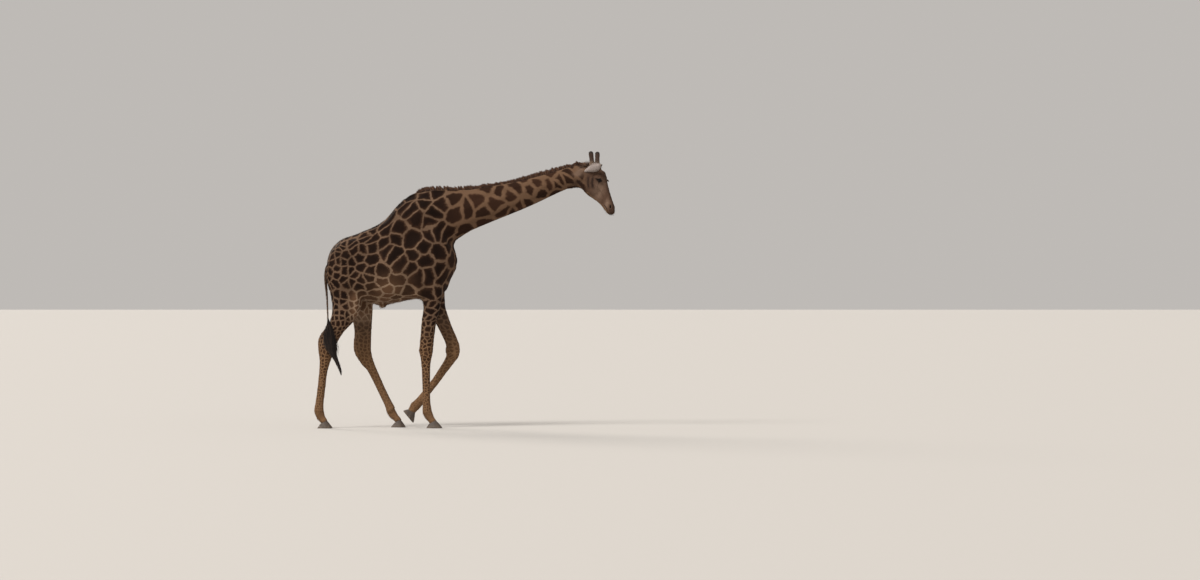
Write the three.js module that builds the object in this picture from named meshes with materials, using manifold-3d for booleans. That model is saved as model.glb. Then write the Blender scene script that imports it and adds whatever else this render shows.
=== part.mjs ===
// A life-size giraffe bull, walking with the neck carried low: a still display model.
// Millimetres. +X is forward, +Y is the animal's left, +Z is up. The floor is z = 0.
//
// The flesh is described as a field: a function of a point that is negative inside the
// animal. Limbs are chains of round sections, muscles are ellipsoids, and all of them flow
// into each other. Each part of the body has a path through its flesh. Rings of points on the
// surface, found by looking out from that path, become its skin, and two parts meet on a plane.
import * as THREE from "three";
import { mergeVertices } from "three/addons/utils/BufferGeometryUtils.js";
import Module from "manifold-3d";

const wasm = await Module();
wasm.setup();

// ---------------------------------------------------------------- driving dimensions

const GAP = 0.3; // left between pieces that touch
const HAIR_GAP = 1.2; // the same where a piece sits on the rounded flesh
const BODY_LEAN = -15; // the trunk carries its weight over the right feet, the two that bear it

// Feet: where the middle of the foot stands across the body.
const TRACK = { foreRight: -125, foreLeft: 165, hindRight: -190, hindLeft: 185 };

// The head is carried turned a little to the right of the neck.
const HEAD_TURN = THREE.MathUtils.degToRad(-27);
const HEAD_STRETCH = 1 / Math.cos(HEAD_TURN); // the sections below give its reach along the body
const ATLAS = new THREE.Vector3(1460, -30, 3290); // the joint the head turns on

// Cut planes, each a point and the direction from the first part to the second.
const plane = (x, y, z, nx, ny, nz) => {
  const normal = new THREE.Vector3(nx, ny, nz).normalize();
  return { point: new THREE.Vector3(x, y, z), normal };
};
const NECK_ROOT_CUT = plane(-292, 0, 2745, 0.906, 0, 0.423);
const HEAD_CUT = plane(1452, -30, 3280, 1, -0.1, -0.12);
const LEG_CUT_Z = 1545; // under the belly, where the legs stand clear of each other

// ---------------------------------------------------------------- the field's shapes

const clamp01 = (t) => Math.min(1, Math.max(0, t));

const FAR = 220; // beyond this a shape no longer touches the surface near by

// How far a point is from a box, measured from the outside only.
function outside(box, p) {
  const dx = Math.max(box.min.x - p.x, 0, p.x - box.max.x);
  const dy = Math.max(box.min.y - p.y, 0, p.y - box.max.y);
  const dz = Math.max(box.min.z - p.z, 0, p.z - box.max.z);
  return Math.hypot(dx, dy, dz);
}

// A limb or a run of the body: stations [x, y, z, depth, width, taper], all half sizes.
// Depth is measured in the side view and width across. A positive taper narrows the top.
function chain(stations, steps = 6) {
  const curve = (a, b, c) =>
    new THREE.CatmullRomCurve3(
      stations.map((s) => new THREE.Vector3(s[a], s[b], c === undefined ? 0 : (s[c] ?? 0))),
    );
  const places = curve(0, 1, 2);
  const sizes = curve(3, 4, 5);
  const count = (stations.length - 1) * steps;
  const samples = [];
  for (let i = 0; i <= count; i++) {
    const place = places.getPoint(i / count);
    const size = sizes.getPoint(i / count);
    samples.push({ x: place.x, y: place.y, z: place.z, r: size.x, w: size.y, taper: size.z });
  }
  const reach = new THREE.Box3();
  for (const { x, y, z, r, w } of samples) {
    const half = new THREE.Vector3(r, w * 1.3, r);
    const middle = new THREE.Vector3(x, y, z);
    reach.union(new THREE.Box3(middle.clone().sub(half), middle.clone().add(half)));
  }
  return (p) => {
    const away = outside(reach, p);
    if (away > FAR) return away;
    let least = Infinity;
    for (let i = 0; i < count; i++) {
      least = Math.min(least, toSegment(p, samples[i], samples[i + 1]));
    }
    return least;
  };
}

// The distance from p to one straight run between two sections.
function toSegment(p, a, b) {
  const run = { x: b.x - a.x, y: b.y - a.y, z: b.z - a.z };
  const square = run.x * run.x + run.y * run.y + run.z * run.z;
  const along = (p.x - a.x) * run.x + (p.y - a.y) * run.y + (p.z - a.z) * run.z;
  const t = clamp01(along / square);
  const r = a.r + (b.r - a.r) * t;
  const dx = p.x - a.x - run.x * t;
  const dz = p.z - a.z - run.z * t;
  const rise = (run.x * dz - run.z * dx) / (Math.sqrt(square) * r);
  const taper = (a.taper + (b.taper - a.taper) * t) * Math.max(-1, Math.min(1, rise));
  const w = (a.w + (b.w - a.w) * t) * (1 - taper);
  const dy = ((p.y - a.y - run.y * t) * r) / w;
  return Math.hypot(dx, dy, dz) - r;
}

// A muscle or a boss of bone: its middle, its three half sizes, and its pitch in degrees,
// which turns it nose down in the side view.
function lump(x, y, z, rx, ry, rz, pitch = 0) {
  const angle = THREE.MathUtils.degToRad(pitch);
  const cos = Math.cos(angle);
  const sin = Math.sin(angle);
  return (p) => {
    const dx = p.x - x;
    const dy = p.y - y;
    const dz = p.z - z;
    const u = dx * cos - dz * sin;
    const v = dx * sin + dz * cos;
    const near = Math.hypot(u / rx, dy / ry, v / rz);
    const steep = Math.hypot(u / (rx * rx), dy / (ry * ry), v / (rz * rz));
    return steep < 1e-9 ? -Math.min(rx, ry, rz) : (near * (near - 1)) / steep;
  };
}

const pair = (x, y, z, ...rest) => {
  const left = lump(x, y, z, ...rest);
  const right = lump(x, -y, z, ...rest);
  return (p) => Math.min(left(p), right(p));
};

// Joins two distances with a fillet about k wide.
function blend(a, b, k) {
  const h = Math.max(k - Math.abs(a - b), 0) / k;
  return Math.min(a, b) - (h * h * k) / 4;
}

// Adds up [k, shape] rows, each with its own fillet, and then takes the hollows away.
function flesh(masses, hollows = []) {
  return (p) => {
    let d = Infinity;
    for (const [k, shape] of masses) d = blend(d, shape(p), k);
    for (const [k, shape] of hollows) d = -blend(-d, shape(p), k);
    return d;
  };
}

// ---------------------------------------------------------------- trunk

const trunkField = flesh(
  [
    // The barrel of ribs and belly, from the pelvis to the breastbone.
    [
      1,
      chain([
        [-1530, 0, 2120, 290, 205, 0.1],
        [-1400, 0, 2085, 385, 258, 0.16],
        [-1180, 0, 2085, 462, 305, 0.22],
        [-960, 0, 2110, 490, 318, 0.26],
        [-760, 0, 2165, 475, 296, 0.26],
        [-560, 0, 2190, 425, 245, 0.24],
        [-400, 0, 2160, 290, 192, 0.1],
      ]),
    ],
    // The line of the back, from the croup over the loins to the withers.
    [
      90,
      chain([
        [-1650, 0, 2280, 90, 92],
        [-1560, 0, 2366, 92, 96],
        [-1440, 0, 2388, 92, 100],
        [-1300, 0, 2446, 98, 98],
        [-1130, 0, 2518, 98, 86],
        [-980, 0, 2612, 90, 70],
        [-838, 0, 2742, 88, 62],
        [-750, 0, 2868, 90, 56],
        [-640, 0, 2978, 84, 52],
        [-520, 0, 3008, 78, 50],
        [-350, 0, 3005, 80, 52],
        [-150, 0, 3000, 85, 58],
      ]),
    ],
    // The long back muscles under that line.
    [
      110,
      chain([
        [-1490, 0, 2245, 180, 190],
        [-1150, 0, 2370, 195, 205],
        [-880, 0, 2540, 225, 200],
        [-680, 0, 2700, 280, 180],
        [-480, 0, 2690, 330, 172],
      ]),
    ],
    [80, pair(-600, 118, 2640, 170, 78, 360, 18)], // shoulder blades
    [70, pair(-400, 160, 2330, 185, 82, 300, -24)], // front of the shoulder
    [70, pair(-560, 178, 2120, 205, 92, 330, 4)], // triceps
    [60, pair(-560, 178, 1840, 135, 84, 200, 6)], // elbow
    [50, pair(-640, 140, 1770, 95, 62, 110, 20)], // fold behind the elbow
    [70, pair(-345, 118, 2110, 130, 105, 165, -10)], // points of the shoulder
    [80, lump(-368, 0, 2060, 156, 160, 215, -16)], // breast
    [80, lump(-420, 0, 1850, 190, 120, 130, 0)], // breastbone
    [70, pair(-1530, 132, 2235, 205, 118, 180, -12)], // rump muscles
    [50, pair(-1400, 165, 2370, 95, 70, 70, 0)], // points of the hip
    [70, pair(-1570, 170, 2020, 215, 120, 320, -6)], // thighs
    [60, pair(-1712, 104, 2050, 80, 84, 240, 2)], // hamstrings
        [50, lump(-1120, 0, 1650, 150, 62, 50, 6)], // sheath
    [26, chain([[-1100, 0, 1604, 30, 28], [-1062, 0, 1572, 25, 24]])],
  ],
  [
    [90, pair(-1300, 395, 2170, 90, 95, 200, 10)], // hollows of the flank
  ],
);

// ---------------------------------------------------------------- neck

const NECK = [
  [-520, 0, 2640, 360, 170, 0.12],
  [-315, 0, 2738, 358, 168, 0.12],
  [-88, 0, 2802, 283, 146, 0.08],
  [324, 0, 2920, 230, 122, 0],
  [735, -2, 3036, 186, 104, -0.06],
  [1045, -9, 3152, 151, 92, -0.08],
  [1256, -18, 3228, 134, 86, -0.06],
  [1420, -28, 3268, 148, 88, 0],
  [1520, -34, 3285, 130, 88, 0],
];
const neckField = flesh([
  [1, chain(NECK)],
  // The windpipe and gullet along the underside.
  [
    40,
    chain([
      [-260, 0, 2500, 100, 60],
      [100, 0, 2640, 70, 48],
      [700, 0, 2880, 48, 40],
      [1300, -20, 3150, 44, 40],
    ]),
  ],
]);

// ---------------------------------------------------------------- head

// The head is laid out facing straight ahead, then turned about the atlas.
const headMasses = flesh(
  [
    [1, lump(1612, 0, 3285, 150, 92, 128, 20)], // braincase
    [50, chain([[1500, 0, 3270, 140, 84], [1600, 0, 3240, 150, 86]])], // nape
    // The bridge of the nose, down to the lips.
    [
      40,
      chain([
        [1730, 0, 3262, 78, 78],
        [1764, 0, 3160, 70, 62],
        [1798, 0, 3060, 62, 48],
        [1834, 0, 2965, 56, 42],
        [1865, 0, 2880, 50, 43],
        [1881, 0, 2815, 44, 45],
        [1885, 0, 2802, 42, 42],
      ]),
    ],
    // The lower jaw.
    [
      40,
      chain([
        [1545, 0, 3160, 74, 62],
        [1620, 0, 3076, 74, 52],
        [1700, 0, 3000, 60, 40],
        [1768, 0, 2935, 50, 33],
        [1816, 0, 2866, 44, 35],
        [1858, 0, 2814, 38, 38],
      ]),
    ],
    [50, pair(1632, 52, 3135, 88, 34, 118, -30)], // cheek muscles
    [40, pair(1744, 70, 3224, 54, 32, 44, -20)], // rims of the eye sockets
    [45, pair(1700, 58, 3175, 90, 26, 28, 50)], // cheek bones
    [35, lump(1772, 0, 3300, 34, 38, 46, -30)], // middle boss of the brow
    [35, pair(1668, 66, 3392, 46, 40, 50, 0)], // seats of the horns
    [30, pair(1560, 84, 3330, 44, 30, 42, 0)], // roots of the ears
    [26, pair(1873, 26, 2872, 34, 22, 50, -25)], // wings of the nostrils
  ],
  [
    [26, pair(1672, 104, 3262, 40, 22, 46, 30)], // temples
  ],
);

// Takes a point of the finished animal back to the straight head.
const turnBack = new THREE.Matrix4()
  .makeTranslation(ATLAS.x, ATLAS.y, ATLAS.z)
  .multiply(new THREE.Matrix4().makeRotationZ(HEAD_TURN))
  .multiply(new THREE.Matrix4().makeScale(HEAD_STRETCH, 1, 1))
  .multiply(new THREE.Matrix4().makeTranslation(-ATLAS.x, 0, -ATLAS.z));
const turnOn = turnBack.clone();
turnBack.invert();
const headField = (p) =>
  headMasses(new THREE.Vector3(p.x, p.y, p.z).applyMatrix4(turnBack));

// ---------------------------------------------------------------- legs

const foreRight = chain([
  [-450, -172, 1950, 170, 92],
  [-445, -172, 1720, 150, 88],
  [-447, -166, 1560, 113, 76],
  [-478, -158, 1400, 90, 66],
  [-498, -151, 1220, 82, 60],
  [-511, -146, 1100, 80, 60],
  [-516, -142, 1000, 80, 63],
  [-519, -140, 925, 66, 56],
  [-521, -136, 820, 50, 45],
  [-519, -132, 650, 45, 40],
  [-515, -129, 470, 41, 38],
  [-513, -127, 330, 41, 40],
  [-506, -125, 235, 48, 48],
  [-484, -125, 165, 48, 50],
  [-452, TRACK.foreRight, 105, 46, 54],
  [-430, TRACK.foreRight, 80, 46, 56],
]);
const foreLeft = chain([
  [-440, 172, 1950, 170, 92],
  [-425, 176, 1720, 150, 88],
  [-375, 178, 1540, 108, 76],
  [-325, 177, 1400, 86, 68],
  [-268, 176, 1270, 74, 62],
  [-205, 175, 1130, 72, 60],
  [-176, 174, 1030, 78, 62],
  [-180, 173, 955, 74, 60],
  [-226, 172, 868, 56, 48],
  [-320, 170, 732, 46, 42],
  [-418, 168, 590, 42, 38],
  [-520, 167, 462, 41, 38],
  [-600, 166, 360, 44, 41],
  [-658, 165, 286, 54, 49],
  [-698, 165, 238, 52, 52],
  [-727, TRACK.foreLeft, 204, 50, 60],
  [-736, TRACK.foreLeft, 190, 50, 62],
]);
const hindRight = chain([
  [-1585, -168, 2000, 220, 118],
  [-1560, -178, 1800, 220, 116],
  [-1545, -190, 1620, 208, 108],
  [-1590, -196, 1460, 152, 90],
  [-1652, -198, 1348, 110, 76],
  [-1706, -198, 1248, 95, 66],
  [-1757, -196, 1160, 97, 62],
  [-1792, -195, 1060, 94, 60],
  [-1808, -194, 965, 80, 54],
  [-1830, -193, 850, 57, 47],
  [-1852, -192, 700, 43, 40],
  [-1874, -191, 500, 42, 39],
  [-1894, -190, 345, 43, 40],
  [-1903, -190, 240, 50, 49],
  [-1888, -190, 165, 48, 50],
  [-1852, TRACK.hindRight, 105, 46, 54],
  [-1832, TRACK.hindRight, 80, 46, 56],
]);
const hindLeft = chain([
  [-1530, 168, 2000, 220, 118],
  [-1450, 178, 1800, 222, 116],
  [-1400, 190, 1620, 190, 106],
  [-1370, 194, 1460, 132, 90],
  [-1358, 195, 1300, 104, 74],
  [-1354, 194, 1170, 92, 64],
  [-1352, 193, 1060, 90, 60],
  [-1338, 192, 960, 82, 56],
  [-1302, 191, 876, 66, 50],
  [-1248, 190, 768, 52, 44],
  [-1176, 189, 620, 45, 40],
  [-1100, 187, 455, 43, 39],
  [-1036, 186, 325, 43, 40],
  [-992, 185, 235, 50, 49],
  [-955, 185, 160, 48, 50],
  [-912, TRACK.hindLeft, 105, 46, 54],
  [-892, TRACK.hindLeft, 80, 46, 56],
]);
// The heel bones stand out behind the hocks.
const heelRight = chain([
  [-1770, -196, 1290, 36, 26],
  [-1868, -196, 1160, 42, 30],
  [-1868, -195, 1040, 40, 32],
  [-1850, -194, 930, 34, 30],
]);
const heelLeft = chain([
  [-1420, 195, 1180, 36, 28],
  [-1438, 194, 1015, 42, 32],
  [-1400, 193, 930, 36, 30],
  [-1330, 192, 820, 30, 28],
]);
const legField = flesh([
  [20, foreRight],
  [20, foreLeft],
  [20, hindRight],
  [20, hindLeft],
  [30, heelRight],
  [30, heelLeft],
  [24, lump(-548, -143, 1010, 56, 46, 60, 0)], // back of the right knee
  [24, lump(-232, 174, 1010, 40, 44, 60, 20)], // back of the left knee
  [30, lump(-532, -125, 214, 26, 34, 38, 0)], // backs of the fetlocks
  [30, lump(-1928, -190, 222, 26, 34, 38, 0)],
  [30, lump(-1008, 185, 190, 26, 34, 42, 20)],
  [30, lump(-696, 165, 300, 34, 34, 26, 40)],
]);

// ---------------------------------------------------------------- the whole animal

const bodyField = (p) => {
  const trunk = trunkField({ x: p.x, y: p.y - BODY_LEAN, z: p.z });
  const body = blend(trunk, neckField(p), 100);
  return p.x > 1200 ? blend(body, headField(p), 60) : body;
};

// ---------------------------------------------------------------- skins

const ACROSS = new THREE.Vector3(0, 1, 0);
const ANY_DISTANCE = 2000;

// The point where a look from inside the flesh comes out through the surface.
function exitPoint(surface, origin, direction, level, room) {
  const p = new THREE.Vector3();
  const at = (t) => surface(p.copy(origin).addScaledVector(direction, t)) - level;
  let low = 0;
  let high = 0;
  while (high < room) {
    const value = at(high);
    if (value > 0) break;
    low = high;
    high += Math.max(3, -value * 0.4);
  }
  if (high >= room) return origin.clone().addScaledVector(direction, room);
  for (let i = 0; i < 12; i++) {
    const middle = (low + high) / 2;
    if (at(middle) > 0) high = middle;
    else low = middle;
  }
  return origin.clone().addScaledVector(direction, high);
}

// The directions round a middle, square to the way the section faces.
function spokes(facing, sides) {
  const left = ACROSS.clone().addScaledVector(facing, -facing.dot(ACROSS)).normalize();
  const down = facing.clone().cross(left);
  return Array.from({ length: sides }, (_, i) => {
    const angle = (i / sides) * 2 * Math.PI;
    return left.clone().multiplyScalar(Math.cos(angle)).addScaledVector(down, Math.sin(angle));
  });
}

function section(surface, middle, facing, sides, level = 0, room = ANY_DISTANCE) {
  return spokes(facing, sides).map((way) => exitPoint(surface, middle, way, level, room));
}

// Closes the end of a skin with a dome, as seen from the last middle.
function dome(surface, middle, facing, sides, rows, level = 0, room = ANY_DISTANCE) {
  const made = [];
  for (let k = 1; k < rows; k++) {
    const rise = (k / rows) * (Math.PI / 2);
    const ways = spokes(facing, sides).map((way) =>
      way.multiplyScalar(Math.cos(rise)).addScaledVector(facing, Math.sin(rise)),
    );
    made.push(ways.map((way) => exitPoint(surface, middle, way, level, room)));
  }
  made.push([exitPoint(surface, middle, facing, level, room)]);
  return made;
}

// Rings of points, laid in order along the part, become one closed solid.
function skin(rings) {
  const middleOf = (ring) =>
    ring.reduce((sum, p) => sum.add(p), new THREE.Vector3()).divideScalar(ring.length);
  const rows = [...rings];
  if (rows[0].length > 1) rows.unshift([middleOf(rows[0])]);
  if (rows.at(-1).length > 1) rows.push([middleOf(rows.at(-1))]);
  const positions = rows.flat().flatMap((p) => p.toArray());
  const index = [];
  let first = 0;
  for (let k = 0; k + 1 < rows.length; k++) {
    const here = rows[k].length;
    const next = rows[k + 1].length;
    const sides = Math.max(here, next);
    for (let i = 0; i < sides; i++) {
      const a = first + (i % here);
      const b = first + ((i + 1) % here);
      const c = first + here + ((i + 1) % next);
      const d = first + here + (i % next);
      if (here > 1) index.push(a, b, next > 1 ? c : d);
      if (next > 1) index.push(a, c, d);
    }
    first += here;
  }
  const geometry = new THREE.BufferGeometry();
  geometry.setAttribute("position", new THREE.Float32BufferAttribute(positions, 3));
  geometry.setIndex(index);
  return solidFrom(geometry);
}

function solidFrom(geometry) {
  geometry.deleteAttribute("normal");
  geometry.deleteAttribute("uv");
  const merged = mergeVertices(geometry, 1e-3);
  return new wasm.Manifold(
    new wasm.Mesh({
      numProp: 3,
      vertProperties: new Float32Array(merged.attributes.position.array),
      triVerts: new Uint32Array(merged.index.array),
    }),
  );
}

// A path through the flesh, with the sections that stand along it. The sections at a flat end
// lie in that end's plane, and those after it turn little by little to face along the path.
function along(points, count, { first, last, turn = 0.4 } = {}) {
  const path = new THREE.CatmullRomCurve3(points.map((p) => new THREE.Vector3(...p)));
  return Array.from({ length: count + 1 }, (_, i) => {
    const s = i / count;
    const facing = path.getTangentAt(s);
    if (first) facing.lerp(first.normal, clamp01(1 - s / turn));
    if (last) facing.lerp(last.normal, clamp01(1 - (1 - s) / turn));
    const middle = path.getPointAt(s);
    if (first && i === 0) settle(middle, first, GAP / 2);
    if (last && i === count) settle(middle, last, -GAP / 2);
    return { middle, facing: facing.normalize() };
  });
}

// Puts a point on a cut plane, off to the side that its part is on.
function settle(point, { point: on, normal }, side) {
  point.addScaledVector(normal, side - normal.dot(point.clone().sub(on)));
}

const rounds = (stands, surface, sides, level = 0, room = ANY_DISTANCE) =>
  stands.map(({ middle, facing }) => section(surface, middle, facing, sides, level, room));

// ---------------------------------------------------------------- trunk and neck

const LEG_SIDES = 13;
const LEG_TOPS = [
  [-447, -166, 330],
  [-377, 178, 330],
  [-1565, -193, 400],
  [-1385, 192, 400],
];

const TRUNK_SIDES = 32;
const DOME_ROWS = 7; // between the last section and the pole of the rump, or the neck's rim
const NECK_SIDES = 22;
const NECK_REACH = 392; // from the middle of the neck's root to its lower edge
const LEG_CUT = plane(0, 0, LEG_CUT_Z, 0, 0, -1);
const legTops = flesh([
  [1, chain([[-450, -172, 1960, 170, 92], [-445, -172, 1775, 150, 88]])],
  [1, chain([[-440, 172, 1960, 170, 92], [-428, 176, 1775, 150, 88]])],
  [1, chain([[-1585, -168, 2000, 220, 118], [-1562, -178, 1830, 220, 116]])],
  [1, chain([[-1530, 168, 2000, 220, 118], [-1456, 178, 1830, 220, 116]])],
]);
const shoulders = (p) => blend(bodyField(p), legTops(p), 90);
const aboveLegs = (p) => Math.max(shoulders(p), LEG_CUT_Z + 30 - p.z);

function trunkSolid(level = 0) {
  const stands = along(
    [
      [-1590, BODY_LEAN, 2140],
      [-1400, BODY_LEAN, 2130],
      [-1100, BODY_LEAN, 2120],
      [-850, BODY_LEAN, 2180],
      [-660, BODY_LEAN, 2330],
      [-545, BODY_LEAN, 2500],
    ],
    18,
  );
  const rump = stands[0];
  const breast = stands.at(-1);
  const behind = rump.facing.clone().negate();
  const back = dome(aboveLegs, rump.middle, behind, TRUNK_SIDES, DOME_ROWS, level);
  const tailEnd = back.map((ring) => mirrored(ring)).reverse();
  // The front closes on the rim where the neck leaves it.
  const root = NECK_ROOT_CUT.point.clone();
  settle(root, NECK_ROOT_CUT, -GAP / 2);
  const across = NECK_ROOT_CUT.normal;
  const rim = section(bodyField, root, across, TRUNK_SIDES, level, NECK_REACH);
  const sides = spokes(breast.facing, TRUNK_SIDES);
  const front = [];
  for (let k = 1; k < DOME_ROWS; k++) {
    front.push(
      sides.map((way, i) => {
        const toRim = rim[i].clone().sub(breast.middle).normalize();
        const look = way.clone().lerp(toRim, k / DOME_ROWS).normalize();
        return exitPoint(aboveLegs, breast.middle, look, level, ANY_DISTANCE);
      }),
    );
  }
  const sections = rounds(stands, aboveLegs, TRUNK_SIDES, level);
  const barrel = skin([...tailEnd, ...sections, ...front, rim]);
  return LEG_TOPS.reduce((body, top) => body.add(stumpSolid(top)), barrel);
}

// The top of a leg inside the trunk, which gives the trunk a clean edge at the leg's cut.
function stumpSolid([x, y, rise]) {
  const upward = plane(x, y, LEG_CUT_Z, 0, 0, 1);
  const stands = along([[x, y, LEG_CUT_Z], [x, y, LEG_CUT_Z + rise]], 5, { first: upward });
  const [edge, ...inside] = stands;
  return skin([
    section(legField, edge.middle, edge.facing, LEG_SIDES),
    ...rounds(inside, legField, LEG_SIDES, -5),
  ]);
}

// A dome that faces back runs round the other way.
function mirrored(ring) {
  return ring.map((_, i) => ring[(ring.length - i) % ring.length]);
}

function neckSolid(level = 0) {
  const points = NECK.slice(1, 8).map(([x, y, z]) => [x, y, z]);
  points[0] = NECK_ROOT_CUT.point.toArray();
  points[points.length - 1] = HEAD_CUT.point.toArray();
  const stands = along(points, 13, { first: NECK_ROOT_CUT, last: HEAD_CUT, turn: 0.25 });
  return skin(rounds(stands, bodyField, NECK_SIDES, level, NECK_REACH));
}

// ---------------------------------------------------------------- head

const HEAD_SIDES = 22;
const spotOn = (x, y, z) => new THREE.Vector3(x, y, z).applyMatrix4(turnOn);

function headSolid(level = 0) {
  const points = [
    [1460, 0, 3276],
    [1540, 0, 3262],
    [1620, 0, 3232],
    [1690, 0, 3180],
    [1745, 0, 3100],
    [1790, 0, 3000],
    [1830, 0, 2900],
    [1858, 0, 2835],
  ].map((p) => spotOn(...p).toArray());
  const stands = along(points, 17, { first: HEAD_CUT, turn: 0.3 });
  const lips = stands.at(-1);
  const close = dome(bodyField, lips.middle, lips.facing, HEAD_SIDES, 5, level);
  return skin([...rounds(stands, bodyField, HEAD_SIDES, level), ...close]);
}

// ---------------------------------------------------------------- legs

// A foot stands on its sole at (x, y, z), its toe turned down by pitch.
function footFrame(x, y, z, pitch) {
  return new THREE.Matrix4()
    .makeTranslation(x, y, z)
    .multiply(new THREE.Matrix4().makeRotationY(THREE.MathUtils.degToRad(pitch)));
}

const CORONET = plane(-28, 0, 78, 0.38, 0, -0.925); // where the hair ends, seen from the foot

const FEET = {
  foreleg_right: { frame: footFrame(-413, TRACK.foreRight, 0, 0), scale: 1 },
  foreleg_left: { frame: footFrame(-766, TRACK.foreLeft, 137, 51), scale: 1 },
  hindleg_right: { frame: footFrame(-1826, TRACK.hindRight, 0, 0), scale: 0.94 },
  hindleg_left: { frame: footFrame(-897, TRACK.hindLeft, 0, 0), scale: 0.94 },
};

function carry({ point, normal }, frame) {
  return {
    point: point.clone().applyMatrix4(frame),
    normal: normal.clone().transformDirection(frame),
  };
}

// The joint each leg is divided at, and the paths above and below it.
const LEGS = {
  foreleg_right: {
    top: LEG_TOPS[0],
    joint: plane(-516, -142, 1000, -0.04, 0.04, -1),
    above: [[-476, -158, 1400], [-497, -151, 1220]],
    below: [
      [-520, -136, 820],
      [-517, -130, 560],
      [-513, -127, 330],
      [-500, -125, 220],
      [-475, -125, 150],
    ],
  },
  foreleg_left: {
    top: LEG_TOPS[1],
    joint: plane(-174, 174, 1000, -0.02, 0, -1),
    above: [[-325, 177, 1400], [-250, 176, 1220]],
    below: [
      [-240, 172, 855],
      [-370, 169, 665],
      [-520, 167, 462],
      [-610, 166, 350],
      [-672, 165, 268],
    ],
  },
  hindleg_right: {
    top: LEG_TOPS[2],
    joint: plane(-1822, -195, 1090, -0.28, 0, -0.96),
    above: [[-1622, -197, 1400], [-1740, -197, 1210]],
    below: [
      [-1838, -193, 850],
      [-1862, -191, 600],
      [-1892, -190, 350],
      [-1899, -190, 235],
      [-1880, -190, 155],
    ],
  },
  hindleg_left: {
    top: LEG_TOPS[3],
    joint: plane(-1358, 192, 985, 0.3, 0, -0.95),
    above: [[-1368, 194, 1400], [-1362, 194, 1180]],
    below: [
      [-1262, 190, 795],
      [-1140, 188, 540],
      [-1040, 186, 330],
      [-990, 185, 232],
      [-948, 185, 155],
    ],
  },
};

function legSolids(name) {
  const { top, joint, above, below } = LEGS[name];
  const coronet = carry(CORONET, FEET[name].frame);
  const hip = { point: new THREE.Vector3(top[0], top[1], LEG_CUT_Z), normal: LEG_CUT.normal };
  const upper = along([hip.point.toArray(), ...above, joint.point.toArray()], 8, {
    first: hip,
    last: joint,
  });
  const lower = along([joint.point.toArray(), ...below, coronet.point.toArray()], 13, {
    first: joint,
    last: coronet,
    turn: 0.2,
  });
  return [skin(rounds(upper, legField, LEG_SIDES)), skin(rounds(lower, legField, LEG_SIDES))];
}

// ---------------------------------------------------------------- hooves

const CLEFT = 9; // between the two claws of a foot
const CLAW_SIDES = 13;
const CLAW = {
  sole: { middle: 0, half: 103, width: 84, toe: 0.3 },
  wall: { middle: -14, half: 84, width: 77, toe: 0.22 },
  coronet: { middle: -27, half: 66, width: 68, toe: 0.1 },
};

// Half the foot. Side is +1 for the claw on the animal's left.
function clawSolid({ frame, scale }, side) {
  const outline = ({ middle, half, width, toe }, rise) =>
    Array.from({ length: CLAW_SIDES }, (_, i) => {
      const angle = (i / CLAW_SIDES) * 2 * Math.PI;
      const square = (t) => Math.sign(t) * Math.abs(t) ** 0.72;
      const along = square(Math.cos(angle));
      const across = square(Math.sin(angle));
      const narrow = 1 - toe * Math.max(0, along) ** 2;
      const x = middle + half * along;
      const y = side * (CLEFT / 2 + (width / 2) * narrow * (1 + across));
      return new THREE.Vector3(x * scale, y * scale, rise(x * scale));
    });
  const { point, normal } = CORONET;
  const top = (x) => point.z - GAP - ((x - point.x) * normal.x) / normal.z;
  const rings = [
    outline(CLAW.sole, () => 0),
    outline(CLAW.sole, () => 12),
    outline(CLAW.wall, (x) => top(x) * 0.55),
    outline(CLAW.coronet, top),
  ];
  const placed = rings.map((ring) => ring.map((p) => p.applyMatrix4(frame)));
  return skin(side > 0 ? placed : placed.map((ring) => mirrored(ring)));
}

// ---------------------------------------------------------------- tail

const TAIL = [
  [-1760, BODY_LEAN, 2150, 54, 50],
  [-1802, BODY_LEAN, 2065, 42, 40],
  [-1826, BODY_LEAN - 4, 1965, 27, 26],
  [-1822, -48, 1860, 19, 20],
  [-1806, -98, 1720, 15, 16],
  [-1795, -162, 1580, 13, 14],
  [-1786, -228, 1450, 12, 13],
  [-1782, -272, 1360, 13, 14],
];
const TUFT = [
  [-1782, -272, 1360, 18, 18],
  [-1776, -298, 1290, 32, 28],
  [-1762, -316, 1210, 50, 38],
  [-1748, -326, 1120, 58, 42],
  [-1728, -328, 1040, 44, 34],
  [-1688, -322, 960, 30, 24],
  [-1648, -316, 890, 21, 18],
  [-1616, -312, 810, 16, 15],
  [-1604, -310, 740, 10, 10],
  [-1606, -310, 690, 4, 4],
];
const TUFT_CUT = plane(-1782, -272, 1360, 0.1, -0.5, -0.86);
const tailField = chain(TAIL);
const tuftField = chain(TUFT);

function tailSolids(trunk) {
  const places = (list) => list.map(([x, y, z]) => [x, y, z]);
  const dock = along(places(TAIL), 13, { last: TUFT_CUT, turn: 0.15 });
  const hair = along(places(TUFT), 12, { first: TUFT_CUT, turn: 0.1 });
  const tip = hair.at(-1);
  return [
    skin(rounds(dock, tailField, 10)).subtract(trunk),
    skin([
      ...rounds(hair, tuftField, 12),
      ...dome(tuftField, tip.middle, tip.facing, 12, 2),
    ]),
  ];
}

// ---------------------------------------------------------------- mane

const MANE = [
  [-650, BODY_LEAN, 3058, 40, 10],
  [-570, BODY_LEAN, 3096, 46, 14],
  [-300, -8, 3104, 46, 17],
  [0, 0, 3106, 45, 18],
  [200, 0, 3131, 44, 17],
  [400, 0, 3152, 43, 17],
  [600, 0, 3187, 43, 17],
  [800, -2, 3246, 44, 18],
  [1000, -8, 3300, 46, 18],
  [1200, -16, 3353, 48, 19],
  [1400, -27, 3402, 50, 20],
  [1500, -34, 3430, 50, 20],
  [1570, -40, 3412, 46, 17],
];

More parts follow.
